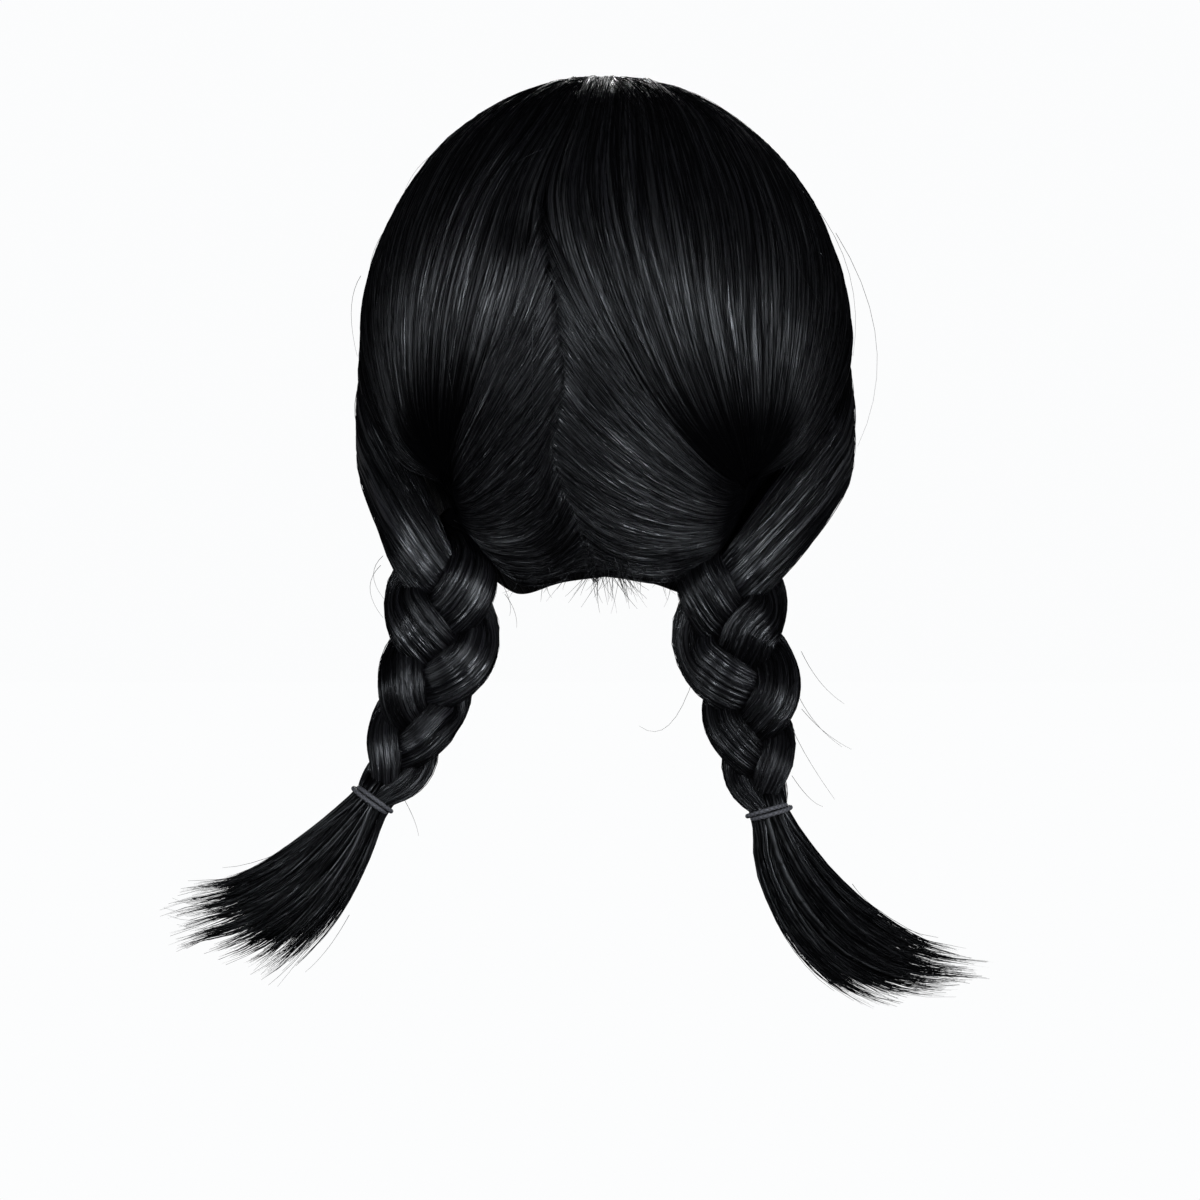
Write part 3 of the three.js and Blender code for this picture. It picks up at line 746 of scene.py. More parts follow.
class Graph:
    """A material's nodes."""

    def __init__(self, name: str) -> None:
        """Starts a material with its shader and output."""
        self.material = bpy.data.materials.new(name)
        self.material.use_nodes = True
        self.tree = self.material.node_tree
        self.tree.nodes.clear()
        self.shader = self.node("ShaderNodeBsdfPrincipled")
        self.output = self.node("ShaderNodeOutputMaterial")
        self.put(self.output.inputs["Surface"], self.shader.outputs["BSDF"])

    def node(
        self, kind: str, settings: dict[str, Any] | None = None, inputs: dict[Any, Any] | None = None,
    ) -> Any:
        """Adds a node.

        Args:
            kind: Its type.
            settings: Settings of the node, which are made before its sockets are set.
            inputs: Socket values or links, by socket name or number.

        Returns:
            The node.
        """
        made = self.tree.nodes.new(kind)
        for key, value in (settings or {}).items():
            setattr(made, key, value)
        for key, value in (inputs or {}).items():
            self.put(made.inputs[key], value)
        return made

    def put(self, socket: bpy.types.NodeSocket, value: Any) -> None:
        """Links a value to a socket, or sets the socket."""
        if isinstance(value, Value):
            self.tree.links.new(value.socket, socket)
        elif isinstance(value, bpy.types.NodeSocket):
            self.tree.links.new(value, socket)
        else:
            socket.default_value = value

    def dress(self, inputs: dict[str, Any]) -> None:
        """Sets or links inputs of the shader."""
        for key, value in inputs.items():
            self.put(self.shader.inputs[key], value)

    def math(self, operation: str, first: Any, second: Any = 0.0) -> Value:
        """A Math node."""
        made = self.node("ShaderNodeMath", {"operation": operation}, {0: first, 1: second})
        return Value(self, made.outputs[0])

    def _map(self, name: str) -> list[Value]:
        """Both numbers of one of the piece's own UV maps."""
        source = self.node("ShaderNodeUVMap", {"uv_map": name})
        parts = self.node("ShaderNodeSeparateXYZ", inputs={0: source.outputs[0]})
        return [Value(self, parts.outputs[i]) for i in range(2)]

    def flow(self) -> tuple[Value, Value]:
        """Millimetres across and down the hair, from the piece's own UV map."""
        across, down = self._map("flow")
        return across * (1 / UV_PER_MM), down * (1 / UV_PER_MM)

    def gloss(self) -> Value:
        """How glossy the hair is, from the piece's own UV map; it also carries painted shade."""
        return self._map("gloss")[0]

    def noise(self, across: Value, down: Value, streaks: Streaks) -> Value:
        """Streaks of noise.

        Args:
            across: Millimetres across the hair.
            down: Millimetres down the hair.
            streaks: The streaks.

        Returns:
            A value from 0 to 1, about 0.5 on average.
        """
        place = self.node("ShaderNodeCombineXYZ", inputs={
            0: across * (1 / streaks.width), 1: down * (1 / streaks.length), 2: streaks.seed})
        made = self.node("ShaderNodeTexNoise", {"noise_dimensions": "3D"}, {
            "Vector": place.outputs[0], "Scale": 1.0, "Detail": streaks.detail, "Roughness": 0.6})
        return Value(self, made.outputs["Fac"])

    def spread(
        self, value: Value, low: float, high: float, to_low: float = 0.0, to_high: float = 1.0,
    ) -> Value:
        """A value moved from one range to another, and kept inside it."""
        made = self.node("ShaderNodeMapRange", {"clamp": True}, {
            "Value": value, "From Min": low, "From Max": high, "To Min": to_low, "To Max": to_high})
        return Value(self, made.outputs["Result"])

    def lines(self, streaks: Value, width: float, left: float) -> Value:
        """What is left of the light on the lines between streaks, and 1 away from them."""
        return self.spread(self.math("ABSOLUTE", streaks - 0.5), 0.0, width, left, 1.0)

    def blend(self, factor: Any, first: Sequence[float], second: Sequence[float]) -> bpy.types.NodeSocket:
        """A colour between two colours."""
        made = self.node("ShaderNodeMix", {"data_type": "RGBA"},
                         {0: factor, 6: (*first, 1.0), 7: (*second, 1.0)})
        return made.outputs[2]

    def bump(self, strength: float, distance: float, height: Value) -> bpy.types.NodeSocket:
        """A normal that is bent by a height."""
        made = self.node("ShaderNodeBump", inputs={
            "Strength": strength, "Distance": distance, "Height": height})
        return made.outputs[0]

    def mix(self, factor: Any, first: bpy.types.Node, second: bpy.types.Node) -> None:
        """Puts out a mix of two shaders."""
        mixed = self.node("ShaderNodeMixShader", inputs={
            0: factor, 1: first.outputs[0], 2: second.outputs[0]})
        self.put(self.output.inputs["Surface"], mixed.outputs[0])


@dataclass(frozen=True)
class HairFinish:
    """Near-black synthetic hair with a cool sheen, dull where the gloss of its mesh is low; that gloss is
    partly the hair's own and partly painted shade, and the lines between its streaks are painted shade too.
    """

    name: str = "hair"
    deep: Triple = (0.0006, 0.0006, 0.0008)
    light: Triple = (0.0042, 0.0043, 0.0056)
    gloss_low: float = 0.46
    gloss_high: float = 0.26
    specular: float = 0.5
    # Shares of the light left on the lines between locks, strands and crossing hairs: painted shade.
    gap: float = 0.2
    crease: float = 0.06
    crossed: float = 0.3
    bump: float = 1.0
    bump_depth: float = 0.0016
    tint: Quad = (0.86, 0.92, 1.0, 1.0)
    wander: float = 3.0
    slant: float = 0.06
    wander_streaks: Streaks = Streaks(14, 60, 3.1, 1)
    lock_streaks: Streaks = Streaks(3.6, 190, 1.7, 1)
    strand_streaks: Streaks = Streaks(1.7, 150, 4.4, 1)
    hair_streaks: Streaks = Streaks(0.7, 110, 5.3, 2)
    crossing_streaks: Streaks = Streaks(1.3, 90, 7.7, 1)
    gap_width: float = 0.045
    crease_width: float = 0.1
    crossed_width: float = 0.05
    noise_low: float = 0.36
    noise_high: float = 0.64

    def material(self) -> bpy.types.Material:
        """Builds the material."""
        g = Graph(self.name)
        across, down = g.flow()
        across = across + (g.noise(across, down, self.wander_streaks) - 0.5) * self.wander
        locks = g.noise(across, down, self.lock_streaks)
        strands = g.noise(across, down, self.strand_streaks)
        hairs = g.noise(across, down, self.hair_streaks)
        crossing = g.noise(across + down * self.slant, down, self.crossing_streaks)
        # Painted shade: the lines between streaks and the mesh's low gloss darken the colour and mix in the
        # dull shader.
        unshaded_share = (g.lines(locks, self.gap_width, self.gap) * g.lines(strands, self.crease_width, self.crease)
                 * g.lines(crossing, self.crossed_width, self.crossed) * g.gloss())
        tone = locks * 0.3 + strands * 0.35 + hairs * 0.35
        tone = g.spread(tone, self.noise_low, self.noise_high) * unshaded_share
        rough = g.spread(hairs * 0.5 + strands * 0.5, self.noise_low, self.noise_high,
                         self.gloss_low, self.gloss_high)
        height = locks * 1.5 + strands * 0.9 + hairs * 0.9 + crossing * 0.7
        g.dress({"Base Color": g.blend(tone, self.deep, self.light), "Roughness": rough,
                 "Normal": g.bump(self.bump, self.bump_depth, height),
                 "Specular IOR Level": self.specular, "Specular Tint": self.tint})
        # The near-black shader that the painted shade mixes in.
        dull = g.node("ShaderNodeBsdfPrincipled", inputs={
            "Base Color": (*self.deep, 1.0), "Roughness": 1.0, "Specular IOR Level": 0.0})
        g.mix(unshaded_share, dull, g.shader)
        return g.material


# Painted light: brighter copies of the hair's finish for the nape's sections and the plaits, with lighter
# colour, stronger specular and fainter painted shade between streaks.
LIT_NAPE_FINISH = HairFinish(
    name="lit_nape_hair", deep=(0.0009, 0.0009, 0.0012), light=(0.0076, 0.0078, 0.01),
    specular=0.9, crease=0.12, crossed=0.4,
)
LIT_PLAIT_FINISH = HairFinish(
    name="lit_plaited_hair", deep=(0.001, 0.001, 0.0013), light=(0.0092, 0.0094, 0.012),
    gloss_low=0.44, gloss_high=0.24, specular=0.75, gap=0.4, crease=0.16, crossed=0.45,
)


@dataclass(frozen=True)
class ElasticFinish:
    """Dark grey elastic with a covering of fine thread, with painted shade where its turns touch."""

    name: str = "elastic"
    deep: Triple = (0.004, 0.0045, 0.006)
    light: Triple = (0.075, 0.08, 0.098)
    cord_radius: float = 1.0
    # How dark the painted shade is where the turns touch.
    crease: float = 0.9
    rib_slant: float = 4.4
    rib_rise: float = 3.2
    lint_streaks: Streaks = Streaks(0.5, 0.9, 2.2, 3)
    lint_share: float = 0.3
    lint_height: float = 0.4
    roughness: float = 0.72
    bump: float = 0.6
    bump_depth: float = 0.0004

    def material(self) -> bpy.types.Material:
        """Builds the material."""
        g = Graph(self.name)
        across, down = g.flow()
        leaning, rising = across * self.rib_slant, down * self.rib_rise
        ribs = g.math("SINE", leaning + rising) * 0.5 + 0.5
        crossing = g.math("SINE", leaning - rising) * 0.5 + 0.5
        weave = ribs * 0.5 + crossing * 0.5
        lint = g.noise(across, down, self.lint_streaks)
        # Painted shade in the crease where the two turns touch.
        side = g.math("SINE", across * (1 / self.cord_radius))
        crease_shade_left = 1 - side * side * side * side * self.crease
        tone = (weave * (1 - self.lint_share) + lint * self.lint_share) * crease_shade_left
        g.dress({"Base Color": g.blend(tone, self.deep, self.light), "Roughness": self.roughness,
                 "Normal": g.bump(self.bump, self.bump_depth, weave + lint * self.lint_height)})
        return g.material


@dataclass(frozen=True)
class PaperFinish:
    """Plain pale floor that looks evenly lit, and throws little light back."""

    name: str = "floor_paper"
    colour: Triple = (0.12, 0.12, 0.12)
    seen: Triple = (0.975, 0.98, 0.985)
    roughness: float = 0.9
    specular: float = 0.1

    def material(self) -> bpy.types.Material:
        """Builds the material."""
        g = Graph(self.name)
        g.dress({"Base Color": (*self.colour, 1.0), "Roughness": self.roughness,
                 "Specular IOR Level": self.specular})
        path = g.node("ShaderNodeLightPath")
        glow = g.node("ShaderNodeEmission", inputs={"Color": (*self.seen, 1.0), "Strength": 1.0})
        g.mix(path.outputs["Is Camera Ray"], g.shader, glow)
        return g.material


class CrownForm:
    """The shape of the crown's outer and inner faces, as the part has them."""

    def __init__(self, sizes: HeadSizes) -> None:
        """Keeps the sizes."""
        self.sizes = sizes
        self.middle = np.array([0.0, 0.0, -sizes.rise])

    def egg(
        self, turn: Any, tilt: Any, half_width: Any, half_depth: Any, rise: float, fall: float,
    ) -> np.ndarray:
        """Points on an egg about the widest level, at turns and tilts in degrees."""
        turn, tilt = np.radians(turn), np.radians(tilt)
        height, reach = np.cos(tilt), np.sin(tilt)
        return np.stack([
            half_width * reach * np.sin(turn), half_depth * reach * np.cos(turn),
            -self.sizes.rise + height * np.where(height > 0, rise, fall),
        ], axis=-1)

    def half_depth(self, turn: Any) -> np.ndarray:
        """Half the depth of the hair at a turn."""
        s = self.sizes
        face = (1 - np.cos(np.radians(turn))) / 2
        return s.half_depth + s.hair_at_back + (s.hair_at_face - s.hair_at_back) * face

    def hair(self, turn: Any, tilt: Any) -> np.ndarray:
        """Points on the plain egg of hair."""
        s = self.sizes
        turn, tilt = np.broadcast_arrays(np.asarray(turn, float), np.asarray(tilt, float))
        return self.egg(turn, tilt, s.outer_half_width, self.half_depth(turn), s.outer_rise, s.outer_fall)

    def hollow(self, turn: Any, tilt: Any) -> np.ndarray:
        """Points on the hollow."""
        s = self.sizes
        turn, tilt = np.broadcast_arrays(np.asarray(turn, float), np.asarray(tilt, float))
        return self.egg(turn, tilt, s.half_width, s.half_depth, s.rise, s.fall)

    def outward(self, points: np.ndarray) -> np.ndarray:
        """The way from the middle of the head to each point."""
        return unit(points - self.middle)

    def hairline(self, turn: Any) -> np.ndarray:
        """The tilt of the hairline at turns."""
        return along(HAIRLINE, "tilt", np.abs(turn))

    def tilt_of_fall(self, fall: Any) -> np.ndarray:
        """How far a fall below the widest level tilts on the outer face."""
        s = self.sizes
        drop = np.asarray(fall, float) * s.fall
        return 90 + np.degrees(np.arcsin(drop / np.where(drop > 0, s.outer_fall, s.outer_rise)))

    def tuck(self, turn: np.ndarray, tilt: np.ndarray) -> np.ndarray:
        """How much of the tuck under the side sections each place has."""
        share = np.zeros(np.broadcast(turn, tilt).shape)
        for side, size in SIDES.items():
            here = (turn < 0) == (side is Side.RIGHT)
            away = np.abs(turn)
            edge = self.tilt_of_fall(along(size.edge, "fall", away))
            below = smoothstep((tilt - edge) / self.sizes.tuck_blend, 0, 1)
            behind = smoothstep(away, size.edge[0].turn, size.edge[1].turn)
            before = 1 - smoothstep(away, size.edge[-2].turn, size.edge[-1].turn + self.sizes.tuck_blend)
            share = np.where(here, below * behind * before, share)
        return share

    def pocket(self, points: np.ndarray) -> np.ndarray:
        """How much of the pocket that a plait gathers in each point of the crown has."""
        s = self.sizes
        share = np.zeros(points.shape[:-1])
        for side, size in SIDES.items():
            across = (points[..., 0] - side.value * size.pocket_out * s.outer_half_width) / s.pocket_width
            level = (points[..., 2] + s.rise + size.pocket_fall * s.fall) / s.pocket_height
            share = np.maximum(share, np.exp(-across**2 - level**2))
        return share * (points[..., 1] > 0)

    def shade(self, points: np.ndarray) -> np.ndarray:
        """A painted shadow: the share of gloss left at points, which is low in the hollow at the head of the
        part, under the sweep of hair.
        """
        s = self.sizes
        across = (points[..., 0] - s.shade_out) / s.shade_width
        level = (points[..., 2] + s.shade_fall) / s.shade_height
        return 1 - s.shade_depth * np.exp(-across**2 - level**2) * (points[..., 1] > 0)

    def outer(self, turn: Any, tilt: Any) -> np.ndarray:
        """Points on the crown's outer face, with its pockets, tucks and thinning edge."""
        s = self.sizes
        turn, tilt = np.broadcast_arrays(np.asarray(turn, float), np.asarray(tilt, float))
        turn = (turn + 180) % 360 - 180
        points = self.hair(turn, tilt)
        outward = self.outward(points)
        dent = np.maximum(s.tuck_depth * self.tuck(turn, tilt), s.pocket_depth * self.pocket(points))
        points = points - outward * dent[..., None]
        rim = self.hollow(turn, tilt) + outward * s.rim_wall
        thin = smoothstep(tilt / self.hairline(turn), s.thinning, 1)[..., None] ** 2
        return points + (rim - points) * thin

    def places(self, points: np.ndarray) -> tuple[np.ndarray, np.ndarray]:
        """The turns and tilts under which points lie, seen from the middle of the head."""
        s = self.sizes
        x, y, z = np.moveaxis(points - self.middle, -1, 0)
        height = z / np.where(z > 0, s.outer_rise, s.outer_fall)
        aside = x / s.outer_half_width
        depth = self.half_depth(np.degrees(np.arctan2(aside, y / (s.half_depth + s.hair_at_back))))
        turn = np.degrees(np.arctan2(aside, y / depth))
        reach = np.hypot(aside, y / depth)
        return turn, np.degrees(np.arctan2(reach, height))

    def outside(self, points: np.ndarray, gap: float) -> np.ndarray:
        """Points moved out of the hollow where they are in it or nearer to it than a gap."""
        s = self.sizes
        d = points - self.middle
        radii = np.stack([np.full(d.shape[:-1], s.half_width), np.full(d.shape[:-1], s.half_depth),
                          np.where(d[..., 2] > 0, s.rise, s.fall)], -1)
        room = np.linalg.norm(d / (radii + gap), axis=-1, keepdims=True)
        return self.middle + d / np.minimum(room, 1)

    def onto(self, points: np.ndarray, lift: Any) -> np.ndarray:
        """Points moved on to the outer face and then lifted off it."""
        face = self.outer(*self.places(points))
        return face + self.outward(face) * np.asarray(lift, float)[..., None]


class Piece:
    """A part of the visual model that rides on the wig and stands for CAD nodes."""

    name: str = "piece"
    slot: str = "hair"
    nodes: tuple[str, ...] = ()

    def dress(self, data: MeshData, material: bpy.types.Material) -> bpy.types.Object:
        """Builds the object, sets what it rides on and stands for, and reports it.

        Args:
            data: The piece's bodies.
            material: Its finish.

        Returns:
            The object.
        """
        made = data.build(self.name, material)
        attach(made, "root")
        if self.nodes:
            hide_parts(*self.nodes)
        log.info("%s: %d triangles", self.name, data.triangles())
        return made


@dataclass
class Cap(Piece):
    """The shell under the visible hair: its outer face, its hollow and the rim between them."""

    form: CrownForm
    columns: int = 200
    rows: int = 64
    inner_rows: int = 26
    pole: float = 0.004
    girth: float = 620.0
    length: float = 200.0
    sink: float = 2.4
    sink_end: float = 0.93
    pocket_sink: float = 3.0
    ridges: Ridges = Ridges((7, 3.2), (0.5, 0.35), 70)
    per_turn: float = 1.7
    per_tilt: float = 1.8
    # Painted shade: the shell is near black where it shows deep between the sections, and lighter at its rim
    # along the hairline.
    gloss: float = 0.12
    rim_unshaded_gloss: float = 0.7
    rim_start: float = 0.94
    rim_full: float = 0.985
    name: str = "cap"
    nodes: tuple[str, ...] = ("crown",)

    def build(self, material: bpy.types.Material) -> bpy.types.Object:
        """Builds the shell.

        Args:
            material: The hair's finish.

        Returns:
            The shell as one closed mesh.
        """
        form = self.form
        turn = np.linspace(0, 360, self.columns, endpoint=False)[None] - 180
        share = np.linspace(self.pole, 1, self.rows)[:, None]
        tilt = share * form.hairline(turn)
        outer = form.outer(turn, tilt)
        bumps = Relief(CAP_SEED, self.ridges).at(turn * self.per_turn, tilt * self.per_tilt)
        lift = -self.sink + bumps - self.pocket_sink * form.pocket(outer)
        lift = lift * (1 - smoothstep(share, self.sink_end, 1))
        outer = outer + form.outward(outer) * lift[..., None]
        back = np.linspace(1, self.pole, self.inner_rows)[:, None]
        inner = form.hollow(turn, back * form.hairline(turn))
        rings = np.concatenate([outer, inner])[:, ::-1]
        down = np.concatenate([share[:, 0], 1 + back[::-1, 0]]) * self.length
        # Painted shade over the shell, lifted at the rim.
        rim = smoothstep(share[:, 0], self.rim_start, self.rim_full)
        shaded_gloss = self.gloss + (self.rim_unshaded_gloss - self.gloss) * rim
        shaded_gloss = np.concatenate([shaded_gloss, np.full(self.inner_rows, self.gloss)])
        data = MeshData()
        add_tube(data, rings, np.linspace(0, self.girth, self.columns + 1), down, shaded_gloss)
        return self.dress(data, material)


@dataclass
class CrownHair(Piece):
    """A combed section of the crown's hair, laid through its guides from its roots to the gather."""

    form: CrownForm
    side: Side
    section: str
    guides: tuple[Guide, ...]
    seed: int
    across_steps: int = 210
    even_steps: int = 240
    down_steps: int = 70
    even_share: float = 0.75
    thickness: float = 3.0
    outer_gap: float = 3.0
    inner_gap: float = 1.0
    ridges: Ridges = Ridges((15, 6.5, 3.2), (0.3, 0.4, 0.32), 110)
    ridge_start: float = 0.05
    lift: float = 0.0
    root_sink: float = 0.9
    root_share: float = 0.03
    end_sink: float = 3.6
    end_share: float = 0.84
    # Painted shade towards the gather: where it starts and ends about the sink, how deep it goes, and how
    # much later it comes at the outer edge.
    gather_shade_before: float = 0.12
    gather_shade_after: float = 0.06
    gather_shade_depth: float = 0.93
    outer_late: float = 0.0
    late_from: float = 0.5
    late_full: float = 0.85
    edge_dive: float = 0.0
    edge_width: float = 12.0
    dive_from: float = 0.5
    dive_full: float = 0.66
    fibres: int = 950
    fibre_steps: int = 12
    fibre_reach: Pair = (0.2, 0.5)
    fibre_width: Pair = (0.12, 0.28)
    fibre_edge: float = 0.002
    fibre_end: float = 0.985
    fibre_thin: float = 0.25
    fibre_dip: float = 0.5
    fibre_rise: float = 0.15
    fibre_gloss: float = 0.6
    rooted: float = 0.3
    rooted_from: float = 0.01
    rooted_to: float = 0.05
    rooted_lift: float = 0.6
    crossing: float = 7.0
    drift: float = 0.011
    wave: float = 0.004
    waves: float = 2.4

    def __post_init__(self) -> None:
        """Names the piece."""
        self.name = f"{self.side.label}_{self.section}_hair"

    def _lay(self) -> None:
        """Lays the grid of hair: rows run down the hair and columns lie side by side."""
        form = self.form
        turns, tilts = np.moveaxis(np.array(self.guides, float), -1, 0)
        guides = form.hair(turns * self.side.value, tilts)
        share = np.linspace(0, 1, self.down_steps)
        lines = np.stack([through(guide, share) for guide in guides])
        even = np.linspace(0, 1, self.even_steps)
        gaps = np.linalg.norm(np.diff(through(lines, even), axis=0), axis=-1)
        run = run_of(gaps[:, : int(self.down_steps * self.even_share)].mean(1))
        self.across = np.linspace(0, run[-1], self.across_steps)
        plain = through(lines, np.interp(self.across, run, even))
        self.down = run_of(np.linalg.norm(np.diff(plain, axis=1), axis=-1).mean(0))
        bumps = Relief(SEED + self.seed, self.ridges).at(self.across[:, None], self.down[None])
        share = share[None]
        roots = -self.root_sink * (1 - smoothstep(share, 0, self.root_share))
        ends = -self.end_sink * smoothstep(share, self.end_share, 1)
        beside = np.linspace(0, 1, self.across_steps)[:, None]
        # The sheet's gloss carries painted shade, towards the gather and in the hollow at the head of the
        # part.
        self.gloss = self._gather_shade(beside, share) * form.shade(plain)
        under = 1 - smoothstep(self.across[:, None], 0, self.edge_width)
        dive = -self.edge_dive * under * smoothstep(share, self.dive_from, self.dive_full)
        lift = self.lift + bumps * smoothstep(share, 0, self.ridge_start) + roots + ends + dive
        self.grid = form.outside(form.onto(plain, lift), self.outer_gap)

    def _gather_shade(self, across: np.ndarray, down: np.ndarray) -> np.ndarray:
        """The gloss at shares across and down the hair, lowered as painted shade where the hair goes into the
        gather, later at the outer edge.
        """
        down = down - self.outer_late * smoothstep(across, self.late_from, self.late_full)
        start, full = self.end_share - self.gather_shade_before, self.end_share + self.gather_shade_after
        return 1 - self.gather_shade_depth * smoothstep(down, start, full)

    def _at(self, across: np.ndarray, down: np.ndarray) -> np.ndarray:
        """Points on the combed face, which goes on straight above its roots.

        Args:
            across: Shares of the way across the section.
            down: Shares of the way down the hair, negative above the roots.

        Returns:
            The points.
        """
        g = self.grid
        a = np.clip(across, 0, 1) * (g.shape[0] - 1)
        d = np.minimum(down, 1) * (g.shape[1] - 1)
        i = np.minimum(a.astype(int), g.shape[0] - 2)
        j = np.clip(d.astype(int), 0, g.shape[1] - 2)
        u, v = (a - i)[..., None], (d - j)[..., None]
        near = g[i, j] * (1 - u) + g[i + 1, j] * u
        far = g[i, j + 1] * (1 - u) + g[i + 1, j + 1] * u
        return near * (1 - v) + far * v

    def build(self, material: bpy.types.Material) -> bpy.types.Object:
        """Builds the combed sheet and the hairs that lie on it.

        Args:
            material: The hair's finish.

        Returns:
            One mesh of the sheet and its hairs.
        """
        self._lay()
        data = MeshData()
        inner = self.grid - self.form.outward(self.grid) * self.thickness
        inner = self.form.outside(inner, self.inner_gap)
        coords = np.stack(np.broadcast_arrays(self.across[:, None], self.down[None], self.gloss), -1)
        turned = slice(None, None, -1 if self.side is Side.LEFT else 1)
        add_sheet(data, self.grid[turned], inner[turned], coords[turned])
        self._lay_fibres(data)
        return self.dress(data, material)

    def _lay_fibres(self, data: MeshData) -> None:
        """Lays loose hairs over the sheet, some across the part. Each dips into it at both ends."""
        rng = np.random.default_rng(FIBRE_SEED + self.seed)
        n = self.fibres
        length = rng.uniform(*self.fibre_reach, n)
        rooted = rng.uniform(0, 1, n) < self.rooted
        start = np.where(rooted, rng.uniform(0, self.root_share, n),
                         rng.uniform(0, 1, n) * (self.fibre_end - length))
        tau = np.linspace(0, 1, self.fibre_steps)[None]
        over = np.where(rooted, rng.uniform(0, self.crossing, n) / self.down[-1], 0)
        down = (start - over)[:, None] + (length + over)[:, None] * tau
        drift = rng.normal(0, self.drift, n)[:, None] * tau
        wave = rng.normal(0, self.wave, n)[:, None]
        wave = wave * np.sin(tau * math.pi * rng.uniform(1, self.waves, n)[:, None])
        across = rng.uniform(self.fibre_edge, 1 - self.fibre_edge, n)[:, None] + (drift + wave)
        face = self._at(across, down)
        near = rooted[:, None] * (1 - smoothstep(down, self.rooted_from, self.rooted_to))
        onto = self.form.onto(face, np.full(down.shape, self.rooted_lift))
        face = face + (onto - face) * near[..., None]
        outward = self.form.outward(face)
        rise = np.abs(rng.normal(0, self.fibre_rise, n))[:, None]
        points = face + outward * arched(tau, self.fibre_dip, rise)[..., None]
        wide = rng.uniform(*self.fibre_width, n)[:, None] * swollen(tau, self.fibre_thin)
        # The hairs carry the same painted shade as the sheet under them.
        gloss = self.fibre_gloss * self._gather_shade(across, down) * self.form.shade(face)
        add_fibres(data, points, outward, wide, wide * FIBRE_FLAT, shades(rng, n), gloss)


class PlaitForm:
    """The ways of one side's plait, its strands and its tail, as the part has them."""

    def __init__(self, crown: CrownForm, sizes: PlaitSizes, size: SideSizes) -> None:
        """Keeps the shapes and sizes."""
        self.crown = crown
        self.sizes = sizes
        self.size = size

    def _line(self, share: np.ndarray) -> np.ndarray:
        """Points of the plait's middle line at shares of its run."""
        p, s = self.sizes, self.size
        x = s.side.value * (s.plait_out + s.plait_drop * along(s.plait, "out", share))
        return np.stack([x, np.full(share.shape, p.back), -p.top - s.plait_drop * share], -1)

    def middle(self, run: Any) -> Stations:
        """The plait's middle line, which goes on straight past its end.

        Args:
            run: Shares of its run.

        Returns:
            The line's points, and the plait's own ways down, back and out there.
        """
        s = self.size
        run = np.atleast_1d(np.asarray(run, float))
        place = np.minimum(run, 1)
        down = unit(self._line(place) - self._line(place - self.sizes.step))
        back = np.broadcast_to(BACK, down.shape)
        out = unit(np.cross(back, down) * -s.side.value)
        centre = self._line(place) + down * ((run - place) * s.plait_drop)[:, None]
        return centre, down, back, out

    def weave(self, row: StrandRow, run: np.ndarray) -> Stations:
        """Stations of a strand in the plait.

        Args:
            row: The strand's row.
            run: Shares of the plait's run.

        Returns:
            The strand's middles, the ways its face looks, its half widths and its half depths.
        """
        p = self.sizes
        centre, _, back, out = self.middle(run)
        place = np.clip(run, 0, 1)
        wide = p.width * along(PLAIT_FORM, "wide", place)
        deep = p.depth * along(PLAIT_FORM, "deep", place)
        turns = p.weave_start + row.phase + p.weave_even * run + p.weave_late * run * np.abs(run)
        aside = np.sin(math.pi * turns)
        sink = p.root_sink * (1 - smoothstep(run, row.root, row.root + p.root_run)) * row.sink
        middle = centre + out * (p.swing * wide * aside)[:, None]
        middle = middle + back * (-p.swing * deep * np.sin(2 * (math.pi * turns)) - sink)[:, None]
        face = unit(back + out * (p.face_lean * aside)[:, None])
        return middle, face, p.half_share * wide, p.half_share * deep

    def lock(self, share: np.ndarray) -> Stations:
        """Stations of the front lock on the crown.

        Args:
            share: Shares of the lock's length.

        Returns:
            Its middles, the ways its face looks, its half widths and its half depths.
        """
        p = self.sizes
        turn = self.size.side.value * along(FRONT_LOCK, "turn", share)
        tilt = self.crown.tilt_of_fall(along(FRONT_LOCK, "fall", share))
        wide = p.lock_width / 2 * along(FRONT_LOCK, "wide", share)
        thick = p.lock_thickness / 2 * along(FRONT_LOCK, "thick", share)
        hair = self.crown.hair(turn, tilt)
        face = unit(hair * np.array([1.0, 1.0, 0.0]))
        lift = thick + p.clearance - self.crown.sizes.tuck_depth * self.crown.tuck(turn, tilt)
        return hair + face * lift[:, None], face, wide, thick


